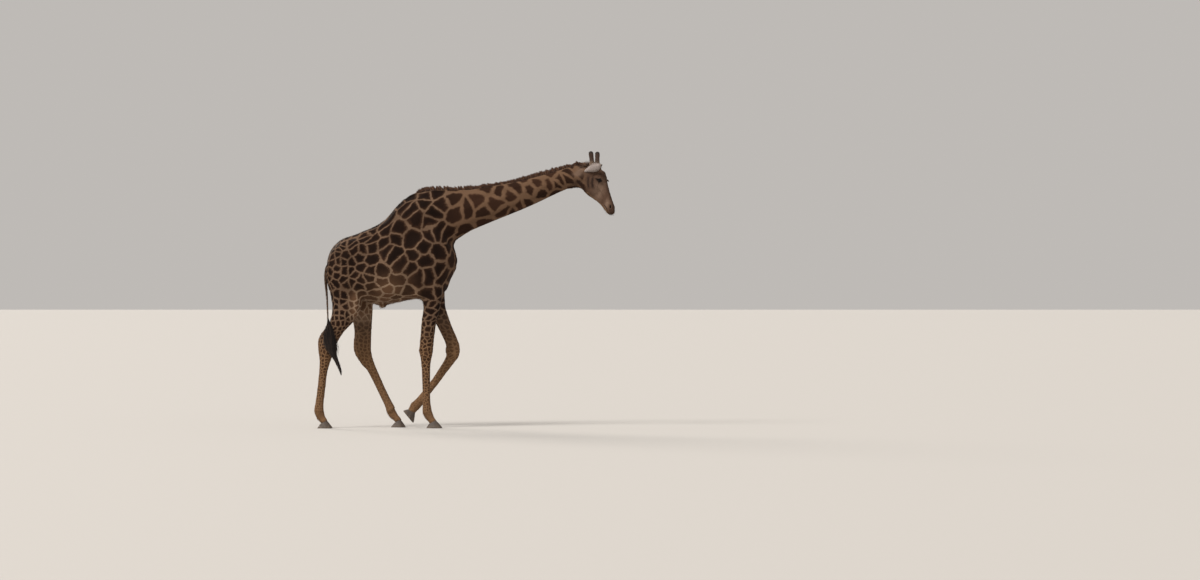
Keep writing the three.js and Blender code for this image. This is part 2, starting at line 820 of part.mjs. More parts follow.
function maneSolid(grown) {
  const hair = chain(MANE, 3);
  const stands = along(MANE.map(([x, y, z]) => [x, y, z]), 24);
  const rings = rounds(stands, hair, 8);
  const back = dome(hair, stands[0].middle, stands[0].facing.clone().negate(), 8, 2);
  const close = dome(hair, stands.at(-1).middle, stands.at(-1).facing, 8, 2);
  const whole = skin([...back.map((ring) => mirrored(ring)).reverse(), ...rings, ...close]);
  return grown.reduce((left, body) => left.subtract(body), whole);
}

// ---------------------------------------------------------------- horns, ears and eyes

// On the straight head, for the left side. The right side mirrors it.
const HORN = [
  [1668, 68, 3385, 38, 34],
  [1666, 76, 3440, 28, 27],
  [1663, 83, 3500, 25, 25],
  [1661, 90, 3542, 27, 26],
  [1660, 92, 3560, 25, 25],
];
const EYE = { x: 1770, y: 78, z: 3208, radius: 25 };
const EAR = {
  root: [1572, 82, 3328],
  tip: { left: [1610, 272, 3392], right: [1832, 170, 3404] },
  lean: { left: [-0.7, 0.5, 0.3], right: [0.1, 0.9, -0.25] }, // where its back faces
  width: 67,
  cup: 26,
  thick: 9,
  widest: 0.62,
  rows: 9,
  points: 7,
};

const HORN_SIDES = 11;
function hornSolid(side, head) {
  const put = ([x, y, z]) => spotOn(x, y * side, z).toArray();
  const core = chain(HORN.map((row) => [...put(row), row[3], row[4]]));
  const stands = along(HORN.map(put), 6);
  const top = stands.at(-1);
  const close = dome(core, top.middle, top.facing, HORN_SIDES, 4);
  return skin([...rounds(stands, core, HORN_SIDES), ...close]).subtract(head);
}

function eyeSolid(side, growth = 0) {
  const ball = new THREE.SphereGeometry(EYE.radius + growth, 14, 9);
  ball.applyMatrix4(new THREE.Matrix4().setPosition(spotOn(EYE.x, EYE.y * side, EYE.z)));
  return solidFrom(ball);
}

// A cupped leaf, widest near its middle and drawn in to a tube at the root.
function earSolid(side, head) {
  const root = spotOn(EAR.root[0], EAR.root[1] * side, EAR.root[2]);
  const [tipX, tipY, tipZ] = side > 0 ? EAR.tip.left : EAR.tip.right;
  const [leanX, leanY, leanZ] = side > 0 ? EAR.lean.left : EAR.lean.right;
  const ahead = spotOn(tipX, tipY * side, tipZ).sub(root);
  const lean = new THREE.Vector3(leanX, leanY * side, leanZ);
  lean.applyAxisAngle(new THREE.Vector3(0, 0, 1), HEAD_TURN);
  const blade = ahead.clone().normalize();
  lean.addScaledVector(blade, -lean.dot(blade)).normalize();
  const across = blade.clone().cross(lean);
  const rings = [];
  for (let k = 0; k <= EAR.rows; k++) {
    const s = k / EAR.rows;
    const swell = 0.45 + 0.55 * Math.sin((Math.PI / 2) * Math.min(1, s * 1.5));
    const pastWidest = Math.max(0, s - EAR.widest) / (1.012 - EAR.widest);
    const width = EAR.width * swell * Math.sqrt(1 - pastWidest ** 2);
    const cup = EAR.cup * (1.2 - 0.5 * s);
    const middle = root.clone().addScaledVector(ahead, s);
    const spot = (turn, inset) =>
      middle
        .clone()
        .addScaledVector(across, Math.max(EAR.thick * 0.7, width - inset * 0.6) * Math.sin(turn))
        .addScaledVector(lean, cup * Math.cos(turn) - inset);
    const back = Array.from({ length: EAR.points }, (_, i) => (2 * i) / (EAR.points - 1) - 1);
    rings.push([
      ...back.map((share) => spot(share * 1.45, 0)),
      ...back.map((share) => spot(-share * 1.4, EAR.thick)),
    ]);
  }
  const leaf = skin(rings);
  return (leaf.volume() > 0 ? leaf : skin(rings.map((ring) => mirrored(ring)))).subtract(head);
}

// ---------------------------------------------------------------- assembly

const LOOKS = {
  coat: { color: 0x5a3c2a, roughness: 0.85 },
  face: { color: 0x6e5a48, roughness: 0.85 },
  shank: { color: 0x8f7a58, roughness: 0.85 },
  ear: { color: 0xb3aba2, roughness: 0.9 },
  horn: { color: 0x4a3426, roughness: 0.8 },
  eye: { color: 0x140c08, roughness: 0.08 },
  mane: { color: 0x6b4023, roughness: 0.9 },
  tuft: { color: 0x120e0c, roughness: 0.7 },
  hoof: { color: 0x2b2320, roughness: 0.55 },
};

const giraffe = new THREE.Group();

function place(name, solid, look) {
  const { numProp, vertProperties, triVerts } = solid.getMesh();
  const positions = [];
  for (let i = 0; i < vertProperties.length; i += numProp) {
    positions.push(vertProperties[i], vertProperties[i + 1], vertProperties[i + 2]);
  }
  const geometry = new THREE.BufferGeometry();
  geometry.setAttribute("position", new THREE.Float32BufferAttribute(positions, 3));
  geometry.setIndex(Array.from(triVerts));
  geometry.computeVertexNormals();
  const material = new THREE.MeshStandardMaterial({ metalness: 0, ...LOOKS[look] });
  const mesh = new THREE.Mesh(geometry, material);
  mesh.name = name;
  giraffe.add(mesh);
}

const SIDES = { left: 1, right: -1 };
const bodiesUnderHair = [trunkSolid, neckSolid, headSolid].map((solid) => solid(HAIR_GAP));
const socketed = Object.values(SIDES).reduce(
  (head, side) => head.subtract(eyeSolid(side, GAP)),
  headSolid(),
);
place("trunk", trunkSolid(), "coat");
place("neck", neckSolid(), "coat");
place("head", socketed, "face");
place("mane", maneSolid(bodiesUnderHair), "mane");
for (const [name, side] of Object.entries(SIDES)) {
  place(`ear_${name}`, earSolid(side, bodiesUnderHair[2]), "ear");
  place(`horn_${name}`, hornSolid(side, bodiesUnderHair[2]), "horn");
  place(`eye_${name}`, eyeSolid(side), "eye");
}
const [dock, tuft] = tailSolids(bodiesUnderHair[0]);
place("tail", dock, "coat");
place("tail_tuft", tuft, "tuft");
for (const leg of Object.keys(LEGS)) {
  const [upper, lower] = legSolids(leg);
  place(`${leg}_upper`, upper, "coat");
  place(`${leg}_lower`, lower, "shank");
  for (const [name, side] of Object.entries(SIDES)) {
    place(`${leg}_claw_${name}`, clawSolid(FEET[leg], side), "hoof");
  }
}

// The origin is on the floor, under the middle of the whole animal.
const middle = new THREE.Box3().setFromObject(giraffe).getCenter(new THREE.Vector3());
giraffe.position.set(-middle.x, -middle.y, 0);
giraffe.updateMatrixWorld(true);

export default giraffe;
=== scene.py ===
# %% [markdown]
# # A life-size giraffe bull
#
# This lesson dresses a set of plain solids as a living animal. The solids give the outline
# and stay as they are; only the legs and horns are made a little fuller than their solids.
# Over them goes one continuous skin with its folds and lids, then the eyes, horns, ears and
# hooves, and last the coat: short hair all over, a standing mane, and the long black tuft of
# the tail.
# Everything is in metres. +X is forward, +Y is the animal's left and +Z is up.

# %% Load the solids
import math

import bpy
import numpy as np
from mathutils import Matrix, Vector
from mathutils.bvhtree import BVHTree


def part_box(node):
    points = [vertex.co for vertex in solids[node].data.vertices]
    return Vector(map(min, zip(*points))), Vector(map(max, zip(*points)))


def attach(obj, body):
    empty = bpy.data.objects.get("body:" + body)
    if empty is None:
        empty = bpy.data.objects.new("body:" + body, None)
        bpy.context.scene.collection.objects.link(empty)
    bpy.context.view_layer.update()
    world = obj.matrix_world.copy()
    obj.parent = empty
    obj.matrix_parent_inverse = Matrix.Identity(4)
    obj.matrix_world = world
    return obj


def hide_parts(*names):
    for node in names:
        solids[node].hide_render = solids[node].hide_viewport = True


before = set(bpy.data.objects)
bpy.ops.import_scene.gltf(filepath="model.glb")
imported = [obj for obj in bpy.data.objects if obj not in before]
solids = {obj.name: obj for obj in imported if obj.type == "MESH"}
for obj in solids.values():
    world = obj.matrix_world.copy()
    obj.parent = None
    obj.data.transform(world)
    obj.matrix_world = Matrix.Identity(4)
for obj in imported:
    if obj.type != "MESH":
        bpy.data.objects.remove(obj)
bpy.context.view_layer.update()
LEGS = ["foreleg_right", "foreleg_left", "hindleg_right", "hindleg_left"]

# %% [markdown]
# The solids are loose triangles, so a piece that grows from one starts as a copy whose
# doubled points are merged. A few helpers read and write all points of a mesh at once,
# because moving a hundred thousand points one by one would take minutes.

# %% Copies of solids, and points as arrays
def deselect():
    if bpy.context.object and bpy.context.object.mode != "OBJECT":
        bpy.ops.object.mode_set(mode="OBJECT")
    bpy.ops.object.select_all(action="DESELECT")


def work_on(piece):
    """Only this piece is selected, and it is the active one."""
    deselect()
    piece.select_set(True)
    bpy.context.view_layer.objects.active = piece


def apply_modifier(piece, kind, **settings):
    work_on(piece)
    modifier = piece.modifiers.new(kind.title(), kind)
    for name, value in settings.items():
        setattr(modifier, name, value)
    bpy.ops.object.modifier_apply(modifier=modifier.name)


def edited(piece, chosen, operator, **settings):
    """Runs one edit mode operator on the chosen faces, or on all of them if chosen is None."""
    work_on(piece)
    bpy.ops.object.mode_set(mode="EDIT")
    if chosen is None:
        bpy.ops.mesh.select_all(action="SELECT")
    else:
        bpy.ops.mesh.select_mode(type="FACE")
        bpy.ops.mesh.select_all(action="DESELECT")
        bpy.ops.object.mode_set(mode="OBJECT")
        piece.data.polygons.foreach_set("select", chosen)
        bpy.ops.object.mode_set(mode="EDIT")
    operator(**settings)
    bpy.ops.object.mode_set(mode="OBJECT")


MERGE = 0.0002


def copy_of(node, name):
    """A merged copy of a solid, free of the frame."""
    piece = solids[node].copy()
    piece.data = solids[node].data.copy()
    for key in list(piece.keys()):
        del piece[key]
    piece.parent = None
    piece.matrix_world = Matrix.Identity(4)
    piece.name = piece.data.name = name
    piece.data.materials.clear()
    bpy.context.scene.collection.objects.link(piece)
    edited(piece, None, bpy.ops.mesh.remove_doubles, threshold=MERGE)
    return piece


def vectors_of(items, name):
    """One vector of each item, as rows of an array."""
    values = np.empty(len(items) * 3, np.float32)
    items.foreach_get(name, values)
    return values.reshape(-1, 3).astype(float)


def points_of(mesh):
    return vectors_of(mesh.vertices, "co")


def normals_of(mesh):
    return vectors_of(mesh.vertex_normals, "vector")


def move_points(mesh, points):
    mesh.vertices.foreach_set("co", points.astype(np.float32).ravel())
    mesh.update()


def ramp(low, high, value):
    """0 below low and 1 above high, with a soft rise between them."""
    t = np.clip((value - low) / (high - low), 0, 1)
    return t * t * (3 - 2 * t)


def bell(value, middle, width):
    """1 at the middle, falling off smoothly to both sides."""
    return np.exp(-(((value - middle) / width) ** 2))


def unit(vectors):
    return vectors / np.maximum(np.linalg.norm(vectors, axis=-1, keepdims=True), 1e-9)


# %% [markdown]
# The giraffe was laid out on two rulers, both in millimetres. The body ruler has its origin
# on the floor. The head ruler belongs to a head that looks straight ahead, which was then
# turned to the right on the joint behind the skull. Left and right mirror each other on it,
# so a lid or a nostril is worked out once and serves both sides.

# %% The body's ruler and the head's ruler
HEAD_TURN = math.radians(-27)
HEAD_STRETCH = 1 / math.cos(HEAD_TURN)
ATLAS = np.array([1460.0, -30.0, 3290.0])
EYE = np.array([1770.0, 78.0, 3208.0])
EYE_RADIUS = 25.0


def rotated(points, angle):
    c, s = math.cos(angle), math.sin(angle)
    x, y, z = points[..., 0], points[..., 1], points[..., 2]
    return np.stack([x * c - y * s, x * s + y * c, z], -1)


def head_to_body(points):
    straight = np.array(points, float) - [ATLAS[0], 0, 0]
    straight[..., 0] *= HEAD_STRETCH
    return rotated(straight, HEAD_TURN) + [ATLAS[0], ATLAS[1], 0]


def body_to_head(points):
    straight = rotated(np.array(points, float) - [ATLAS[0], ATLAS[1], 0], -HEAD_TURN)
    straight[..., 0] /= HEAD_STRETCH
    return straight + [ATLAS[0], 0, 0]


eye_low, eye_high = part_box("eye_left")
eye_centre = np.array((eye_low + eye_high) / 2)
SHIFT = eye_centre - head_to_body(EYE) / 1000


def to_frame(points):
    return np.array(points, float) / 1000 + SHIFT


def to_body(points):
    return (np.array(points, float) - SHIFT) * 1000


def to_head(points):
    return body_to_head(to_body(points))


def from_head(points):
    return to_frame(head_to_body(points))


print("the rulers start at", SHIFT.round(4))

# %% [markdown]
# ## Camera, floor and light
#
# The animal is seen from far away, level with its belly and square to its right side, so
# the camera has a long lens and stands 50 m off. The floor is plain and pale. Three broad
# soft lights model the body, two before it and one behind, and a pale sky fills the rest.
# Colours are shown as they are, without a film look, so that the dark patches stay dark.

# %% Camera, floor and lights
MM_PER_PIXEL = 13.0
PICTURE_WIDE, ORIGIN_PIXEL = 1200, 466.5
CENTRE_X = (PICTURE_WIDE / 2 - ORIGIN_PIXEL) * MM_PER_PIXEL
EYE_LEVEL = 1.79
FAR_OFF = 50.0

camera_data = bpy.data.cameras.new("camera")
camera = bpy.data.objects.new("camera", camera_data)
bpy.context.scene.collection.objects.link(camera)
camera.location = (*to_frame([CENTRE_X, 0, 0])[:2], EYE_LEVEL)
camera.location.y -= FAR_OFF
camera.rotation_euler = (math.pi / 2, 0, 0)
camera_data.sensor_width = 36.0
camera_data.lens = 36.0 * FAR_OFF / (PICTURE_WIDE * MM_PER_PIXEL / 1000)
camera_data.clip_start, camera_data.clip_end = 1.0, 1000.0
bpy.context.scene.camera = camera


def soft_sun(name, place, power, softness, colour):
    """A broad light from far off, so that the whole floor is lit the same."""
    data = bpy.data.lights.new(name, "SUN")
    data.energy, data.angle, data.color = power, math.radians(softness), colour
    light = bpy.data.objects.new(name, data)
    bpy.context.scene.collection.objects.link(light)
    light.location = place
    light.rotation_euler = (-Vector(place)).to_track_quat("-Z", "Y").to_euler()


soft_sun("key", (-6.5, -7.0, 10.0), 3.1, 24, (1.0, 0.96, 0.91))
soft_sun("fill", (9.0, -6.0, 3.5), 0.4, 80, (0.93, 0.96, 1.0))
soft_sun("rim", (-6.0, 9.0, 5.0), 2.1, 25, (1.0, 0.92, 0.84))

sky = bpy.data.worlds.new("pale_sky")
bpy.context.scene.world = sky
sky.use_nodes = True
sky.node_tree.nodes["Background"].inputs["Color"].default_value = (0.86, 0.82, 0.78, 1)
sky.node_tree.nodes["Background"].inputs["Strength"].default_value = 0.6

bpy.context.scene.view_settings.view_transform = "Standard"
deselect()
bpy.ops.mesh.primitive_plane_add(size=600, location=(0, 0, 0))
floor = bpy.context.object
floor.name = "floor"
floor_look = bpy.data.materials.new("pale_floor")
floor_look.use_nodes = True
floor_shader = floor_look.node_tree.nodes["Principled BSDF"]
floor_shader.inputs["Base Color"].default_value = (0.44, 0.425, 0.405, 1)
floor_shader.inputs["Roughness"].default_value = 0.9
floor.data.materials.append(floor_look)
print("camera", [round(v, 2) for v in camera.location], "lens", round(camera_data.lens, 1))

# %% [markdown]
# ## The skin
#
# A skin has no seams, so the parts of flesh become one surface. Each copy first loses the
# flat faces where it meets its neighbour. A voxel remesh then wraps all of them in one even
# net of quads. It bridges the hair-thin gaps between the parts, because they are far
# narrower than one voxel.

# %% Join the flesh
FLESH = ["trunk", "neck", "head", "eye_left", "eye_right"]
FLESH += [leg + part for leg in LEGS for part in ("_upper", "_lower")]
VOXEL = 0.0168
MEETING = 0.0009  # faces this close to a neighbour are cut faces
RIM_REACH = 0.009


def tree_of(piece):
    mesh = piece.data
    return BVHTree.FromPolygons(
        [v.co.copy() for v in mesh.vertices], [tuple(p.vertices) for p in mesh.polygons]
    )


def open_cuts(pieces):
    """Selects and deletes the faces that lie against a neighbour."""
    trees = [tree_of(piece) for piece in pieces]
    for number, piece in enumerate(pieces):
        mesh = piece.data
        low, high = np.array(piece.bound_box).min(0), np.array(piece.bound_box).max(0)
        near = []
        for other, tree in enumerate(trees):
            box = np.array(pieces[other].bound_box)
            apart = np.maximum(box.min(0) - high, low - box.max(0)).max()
            if other != number and apart < RIM_REACH:
                near.append(tree)
        doomed = np.zeros(len(mesh.polygons), bool)
        for face in mesh.polygons:
            for tree in near:
                place, facing, _, gap = tree.find_nearest(face.center, MEETING)
                if place is None or facing.dot(face.normal) > -0.8:
                    continue
                corners = [mesh.vertices[v].co for v in face.vertices]
                if all(tree.find_nearest(c, RIM_REACH)[0] is not None for c in corners):
                    doomed[face.index] = True
        edited(piece, doomed, bpy.ops.mesh.delete, type="FACE")


parts = [copy_of(node, "flesh_" + node) for node in FLESH]
open_cuts(parts)
deselect()
for part in parts:
    part.select_set(True)
bpy.context.view_layer.objects.active = parts[0]
bpy.ops.object.join()
skin = bpy.context.object
skin.name = skin.data.name = "skin"
apply_modifier(skin, "REMESH", mode="VOXEL", voxel_size=VOXEL, use_smooth_shade=True)
print("skin:", len(skin.data.polygons), "faces")

# %% [markdown]
# The solids are faceted, and a remesh keeps their facets as faint edges. Plain smoothing
# would melt them but would also thin the legs. This smoothing alternates a step in with a
# slightly longer step out, so the facets go and most of the girth stays.

# %% Relax the facets away
def edges_of(mesh):
    edges = np.empty(len(mesh.edges) * 2, np.int32)
    mesh.edges.foreach_get("vertices", edges)
    return edges.reshape(-1, 2)


def relaxed(points, edges, rounds, share=None, inward=0.5, outward=-0.53):
    """Smooths an array of values over the net, without shrinking the shape."""
    count = len(points)
    a, b = edges[:, 0], edges[:, 1]
    degree = np.bincount(edges.ravel(), minlength=count).clip(1)[:, None]
    weight = 1 if share is None else share[:, None]
    points = points.copy()
    for step in range(2 * rounds):
        total = np.stack(
            [
                np.bincount(a, points[b, k], count) + np.bincount(b, points[a, k], count)
                for k in range(points.shape[1])
            ],
            1,
        )
        points += (inward if step % 2 == 0 else outward) * weight * (total / degree - points)
    return points


FACET_ROUNDS = 22
points = points_of(skin.data)
points = relaxed(points, edges_of(skin.data), FACET_ROUNDS)
move_points(skin.data, points)
print("relaxed; the skin's box:", points.min(0).round(3), points.max(0).round(3))

# %% [markdown]
# The solids reach out to the tips of the coat. The skin lies inside them by the depth of
# the hair: a few millimetres on the body, less on the shanks and hardly any on the face.
# The legs are brought out again further on.

# %% Draw the skin in by the coat's depth
def coat_depth(points):
    """Millimetres from the skin to the tips of the short hair."""
    body = to_body(points)
    depth = np.interp(body[:, 2], [0, 300, 900, 1500, 1900], [2, 2.5, 3.5, 5, 6])
    on_face = ramp(1480, 1620, to_head(points)[:, 0])
    return depth * (1 - on_face) + 1.6 * on_face


depth = coat_depth(points)
points -= normals_of(skin.data) * (depth / 1000)[:, None]
move_points(skin.data, points)
print("skin drawn in by", depth.min().round(1), "to", depth.max().round(1), "mm")

# %% [markdown]
# ## Muscle, bone and folds
#
# Under a giraffe's thin skin the shoulder blade, the hip, the ribs and the long bands of the
# neck show, and loose skin hangs in folds at the flank and elbow. Each is a stroke in side
# view: a line or a soft hill, given in body millimetres, that moves the skin out or in. The
# strokes of a region stand in a table, a row for each, and their heights are added up.

# %% Strokes
def gap_to_line(x, z, line):
    """The distance in side view to a line of points, and how far along it, from 0 to 1."""
    line = np.array(line, float)
    best = np.full(x.shape, 1e9)
    along = np.zeros(x.shape)
    lengths = np.linalg.norm(np.diff(line, axis=0), axis=1)
    total, before = lengths.sum(), 0.0
    for (x0, z0), (x1, z1), length in zip(line[:-1], line[1:], lengths):
        t = ((x - x0) * (x1 - x0) + (z - z0) * (z1 - z0)) / length**2
        t = np.clip(t, 0, 1)
        gap = np.hypot(x - x0 - t * (x1 - x0), z - z0 - t * (z1 - z0))
        nearer = gap < best
        best = np.where(nearer, gap, best)
        along = np.where(nearer, (before + t * length) / total, along)
        before += length
    return best, along


def mound(x, z, centre, reach, tilt=0.0):
    """A soft hill in side view: 1 at its centre, and near 0 past its reach."""
    c, s = math.cos(math.radians(tilt)), math.sin(math.radians(tilt))
    dx, dz = x - centre[0], z - centre[1]
    along, across = dx * c + dz * s, dz * c - dx * s
    return np.exp(-((along / reach[0]) ** 2) - (across / reach[1]) ** 2)


def stroke(x, z, line, width, fade=0.12):
    """A line in side view that fades out at both its ends."""
    gap, along = gap_to_line(x, z, line)
    ends = ramp(0, fade, along) * ramp(0, fade, 1 - along)
    return bell(gap, 0, width) * ends


def shelf(x, z, line, ahead, soft, run, fade=0.25):
    """A step down across an upright line in side view, which then runs out smoothly. It
    lies before the line if ahead is 1 and behind it if ahead is -1."""
    line = np.array(sorted(line, key=lambda place: place[1]), float)
    gap = (x - np.interp(z, line[:, 1], line[:, 0])) * ahead
    low, high = line[0, 1], line[-1, 1]
    reach = (high - low) * fade
    ends = ramp(low - reach, low + reach, z) * ramp(high + reach, high - reach, z)
    return ramp(-soft, soft, gap) * bell(np.maximum(gap, 0), 0, run) * ends


def formed(x, z, forms):
    """Adds up a table of forms. A row is millimetres out, the kind, and what the kind takes."""
    return sum(height * kind(x, z, *place) for height, kind, *place in forms)


# %% Body forms
RIBS = 9
# The sheath under the belly and the knob at its end: the middle of each and its reach.
SHEATH = (-1075, 1545), (110, 70)
SHEATH_KNOB = (-1082, 1590), (52, 90)
SHEATH_HANG = 0.026  # metres
BLADE = [(-720, 2880), (-690, 2640), (-640, 2380), (-655, 2120), (-650, 1900), (-610, 1740)]
FOLD = [(-1186, 2160), (-1194, 2030), (-1200, 1900), (-1226, 1740), (-1290, 1640)]


def rib_line(rib):
    top = -700 - rib * 58
    return [(top, 2540 - rib * 18), (top - 45, 2250), (top - 50, 1930)]


TRUNK_FORMS = [
    (-24, shelf, BLADE, -1, 34, 210),  # behind the shoulder and upper arm
    (-10, stroke, [(-560, 2860), (-450, 2620), (-330, 2380), (-250, 2240)], 50),
    (6, stroke, [(-640, 2820), (-520, 2560), (-400, 2320)], 40),  # the blade's ridge
    (8, mound, (-450, 2110), (100, 170), 12),  # upper arm
    (-12, stroke, [(-560, 2080), (-470, 1950), (-350, 1880), (-240, 1900)], 34),
    (8, mound, (-215, 2215), (60, 80)),  # point of the shoulder
    (8, mound, (-580, 1860), (44, 60)),  # point of the elbow
    *[(3.5, stroke, rib_line(rib), 16, 0.3) for rib in range(RIBS)],
    (8, mound, (-1330, 2400), (70, 46), -20),  # hip bone
    (-24, mound, (-1180, 2320), (120, 120), 10),  # hollow before the hip
    (-22, shelf, FOLD, 1, 26, 170, 0.4),  # the thigh lies over the flank
    (8, mound, (-1345, 1800), (80, 90)),  # stifle
    (8, mound, (-1540, 2080), (130, 200), 8),  # thigh
    (-14, stroke, [(-1700, 2360), (-1725, 2080), (-1690, 1850), (-1680, 1620)], 44),
    (-12, stroke, [(-1400, 2300), (-1430, 2080), (-1455, 1860), (-1480, 1640)], 50),
    (-12, mound, (-1560, 2420), (110, 60), -20),  # hollow of the rump
    (8, mound, (-1800, 2180), (46, 60)),  # seat bone
    (6, stroke, [(-1100, 2560), (-900, 2640), (-760, 2760)], 50),
]
NECK_BONES = 6
NECK_STRENGTH = 1.8
THROAT_FOLDS = [1290, 1345, 1400]
NECK_FORMS = [
    (-7, stroke, [(-330, 2430), (-100, 2570), (400, 2765), (900, 2960), (1330, 3135)], 30),
    (-4.5, stroke, [(-150, 2900), (300, 3010), (800, 3130), (1300, 3300)], 36),
    *[(4.5, mound, (20 + n * 245, 2840 + n * 80), (80, 46), 20) for n in range(NECK_BONES)],
    *[(-3, stroke, [(x, 3230), (x + 20, 3160), (x + 30, 3090)], 12) for x in THROAT_FOLDS],
]
# The shank of each leg in side view, from knee or hock down to the fetlock.
SHANKS = {
    "foreleg_right": [(-519, 860), (-518, 650), (-514, 330)],
    "foreleg_left": [(-268, 800), (-418, 590), (-640, 310)],
    "hindleg_right": [(-1850, 880), (-1872, 640), (-1896, 310)],
    "hindleg_left": [(-1290, 840), (-1176, 620), (-1010, 280)],
}
JOINTS = {  # knee or hock, then fetlock
    "foreleg_right": [(-512, 985), (-503, 225)],
    "foreleg_left": [(-172, 1000), (-702, 240)],
    "hindleg_right": [(-1815, 1010), (-1898, 225)],
    "hindleg_left": [(-1355, 1010), (-985, 225)],
}


def leg_forms(body, flank):
    x, y, z = body.T
    out = np.zeros(len(x))
    for leg in LEGS:
        on_side = ramp(-10, 20, y) if leg.endswith("left") else ramp(10, -20, y)
        low = 1 - ramp(1100, 1500, z)
        (kx, kz), (fx, fz) = JOINTS[leg]
        behind = [(px - 17, pz) for px, pz in SHANKS[leg]]
        front = [(px + 22, pz) for px, pz in SHANKS[leg]]
        form = -9 * stroke(x, z, behind, 11, 0.2) + 3 * stroke(x, z, front, 14, 0.2)
        form += 7 * mound(x, z, (kx, kz + 40), (46, 32)) + 7 * mound(x, z, (kx, kz - 44), (40, 28))
        form -= 5 * mound(x, z, (kx - 6, kz), (50, 15))
        form += 7 * mound(x, z, (fx, fz), (34, 32))
        if leg.startswith("hind"):
            groove = [(kx - 2, kz + 330), (kx - 28, kz + 200), (kx - 30, kz + 90)]
            form -= 15 * stroke(x, z, groove, 22)
        else:
            form += 5 * stroke(x, z, [(kx + 20, kz + 380), (kx + 4, kz + 200), (kx, kz + 80)], 28)
            groove = [(kx - 30, kz + 420), (kx - 32, kz + 220), (kx - 26, kz + 90)]
            form -= 9 * stroke(x, z, groove, 20)
        out += form * on_side * low
    return out * flank


points, normals = points_of(skin.data), normals_of(skin.data)
body = to_body(points)
flank = ramp(0.25, 0.7, np.abs(normals[:, 1]))
x, _, z = body.T
on_neck = ramp(-330, -120, x) * (1 - ramp(1380, 1500, x))
out = formed(x, z, TRUNK_FORMS) * flank * ramp(1450, 1600, z)
out += NECK_STRENGTH * formed(x, z, NECK_FORMS) * flank * on_neck * (x > -500)
out += leg_forms(body, flank)
out = np.minimum(out, coat_depth(points) * 0.9 + 4)
points += normals * (out / 1000)[:, None]
sheath = mound(x, z, *SHEATH) > 0.3
points = relaxed(points, edges_of(skin.data), 3, sheath.astype(float), 0.5, 0.0)
knob = ramp(0.3, 0.85, mound(x, z, *SHEATH_KNOB))
points[:, 2] -= SHEATH_HANG * knob * ramp(80, 30, np.abs(body[:, 1] + 10))
move_points(skin.data, points)
print("body forms: from", out.min().round(1), "to", out.max().round(1), "mm")

# %% [markdown]
# A leg ends at the coronet, the sloping line where hair stops and horn begins. The skin
# swells a little just above that line and dips under it inside the claws, so no gap shows.

# %% The lower ends of the legs
# Where the middle of each sole is, in body millimetres, its turn in degrees, and its size.
FEET = {
    "foreleg_right": (-413, -125, 0, 0, 1.0),
    "foreleg_left": (-766, 165, 137, 51, 1.0),
    "hindleg_right": (-1826, -190, 0, 0, 0.94),
    "hindleg_left": (-897, 185, 0, 0, 0.94),
}
CORONET = np.array([-28.0, 0.0, 78.0])
CORONET_UP = unit(np.array([-0.38, 0.0, 0.925]))


def foot_view(points, leg):
    """Millimetres from the middle of a foot's sole, seen as if the foot stood flat."""
    x, y, z, turn, size = FEET[leg]
    gap = to_body(points) - [x, y, z]
    c, s = math.cos(math.radians(turn)), math.sin(math.radians(turn))
    flat = [gap[..., 0] * c - gap[..., 2] * s, gap[..., 1], gap[..., 0] * s + gap[..., 2] * c]
    return np.stack(flat, -1) / [size, size, 1]


def over_coronet(seen):
    """Millimetres above the sloping line where the hair ends."""
    return (seen - CORONET) @ CORONET_UP


def from_foot(seen, leg):
    x, y, z, turn, size = FEET[leg]
    seen = seen * [size, size, 1]
    c, s = math.cos(math.radians(turn)), math.sin(math.radians(turn))
    gap = [seen[..., 0] * c + seen[..., 2] * s, seen[..., 1], seen[..., 2] * c - seen[..., 0] * s]
    return to_frame(np.stack(gap, -1) + [x, y, z])


points = points_of(skin.data)
ankles = {}
for leg in LEGS:
    seen = foot_view(points, leg)
    over = over_coronet(seen)
    at_end = (np.abs(seen[:, 0]) < 140) & (np.abs(seen[:, 1]) < 90) & (np.abs(over) < 70)
    ring = seen[at_end & (over > 4) & (over < 26)]
    low, high = ring.min(0), ring.max(0)
    middle = (low + high) / 2
    ankles[leg] = (middle, (high - low) / 2)
    swell = 1 + 0.10 * bell(over, 12, 16)
    local = seen[at_end]
    local[:, :2] = middle[:2] + (local[:, :2] - middle[:2]) * swell[at_end, None]
    local -= CORONET_UP * (14 * ramp(9, 1, over[at_end]))[:, None]
    points[at_end] = from_foot(local, leg)
    print(leg, "ends", middle.round(0), "half size", ankles[leg][1].round(0))
move_points(skin.data, points)

# %% [markdown]
# Smoothing takes some girth from anything as thin as a leg, and the solids' legs are slim
# too. So each leg comes out here along its normals, past its solid by a pencil's width in
# most places and by up to a finger's. It comes out most above the knee and the hock, and not
# at all where the hair ends at the coronet.

# %% Give the legs their girth back
FULLER_Z = [60, 240, 900, 1200, 1420, 1560]
FULLER = [5.0, 12.5, 13.0, 16.0, 14.0, 0.0]  # millimetres outwards
LEFT_GASKIN, LEFT_GASKIN_FULLER = ((-1360, 1140), (150, 190)), 8  # over the left hock
FOOT_LONG, FOOT_WIDE, FOOT_TALL = 200, 100, 160  # a box round each foot
FETLOCK_FULLER = 12.5
body = to_body(points)
gain = np.interp(body[:, 2], FULLER_Z, FULLER)
gain += LEFT_GASKIN_FULLER * mound(body[:, 0], body[:, 2], *LEFT_GASKIN) * (body[:, 1] > 0)
for leg in LEGS:
    seen = foot_view(points, leg)
    over = over_coronet(seen)
    foot = (np.abs(seen[:, 0]) < FOOT_LONG) & (np.abs(seen[:, 1]) < FOOT_WIDE)
    foot &= np.abs(over) < FOOT_TALL
    gain[foot] = np.minimum(gain[foot], FETLOCK_FULLER * ramp(6, 120, over[foot]))
points += normals_of(skin.data) * gain[:, None] / 1000
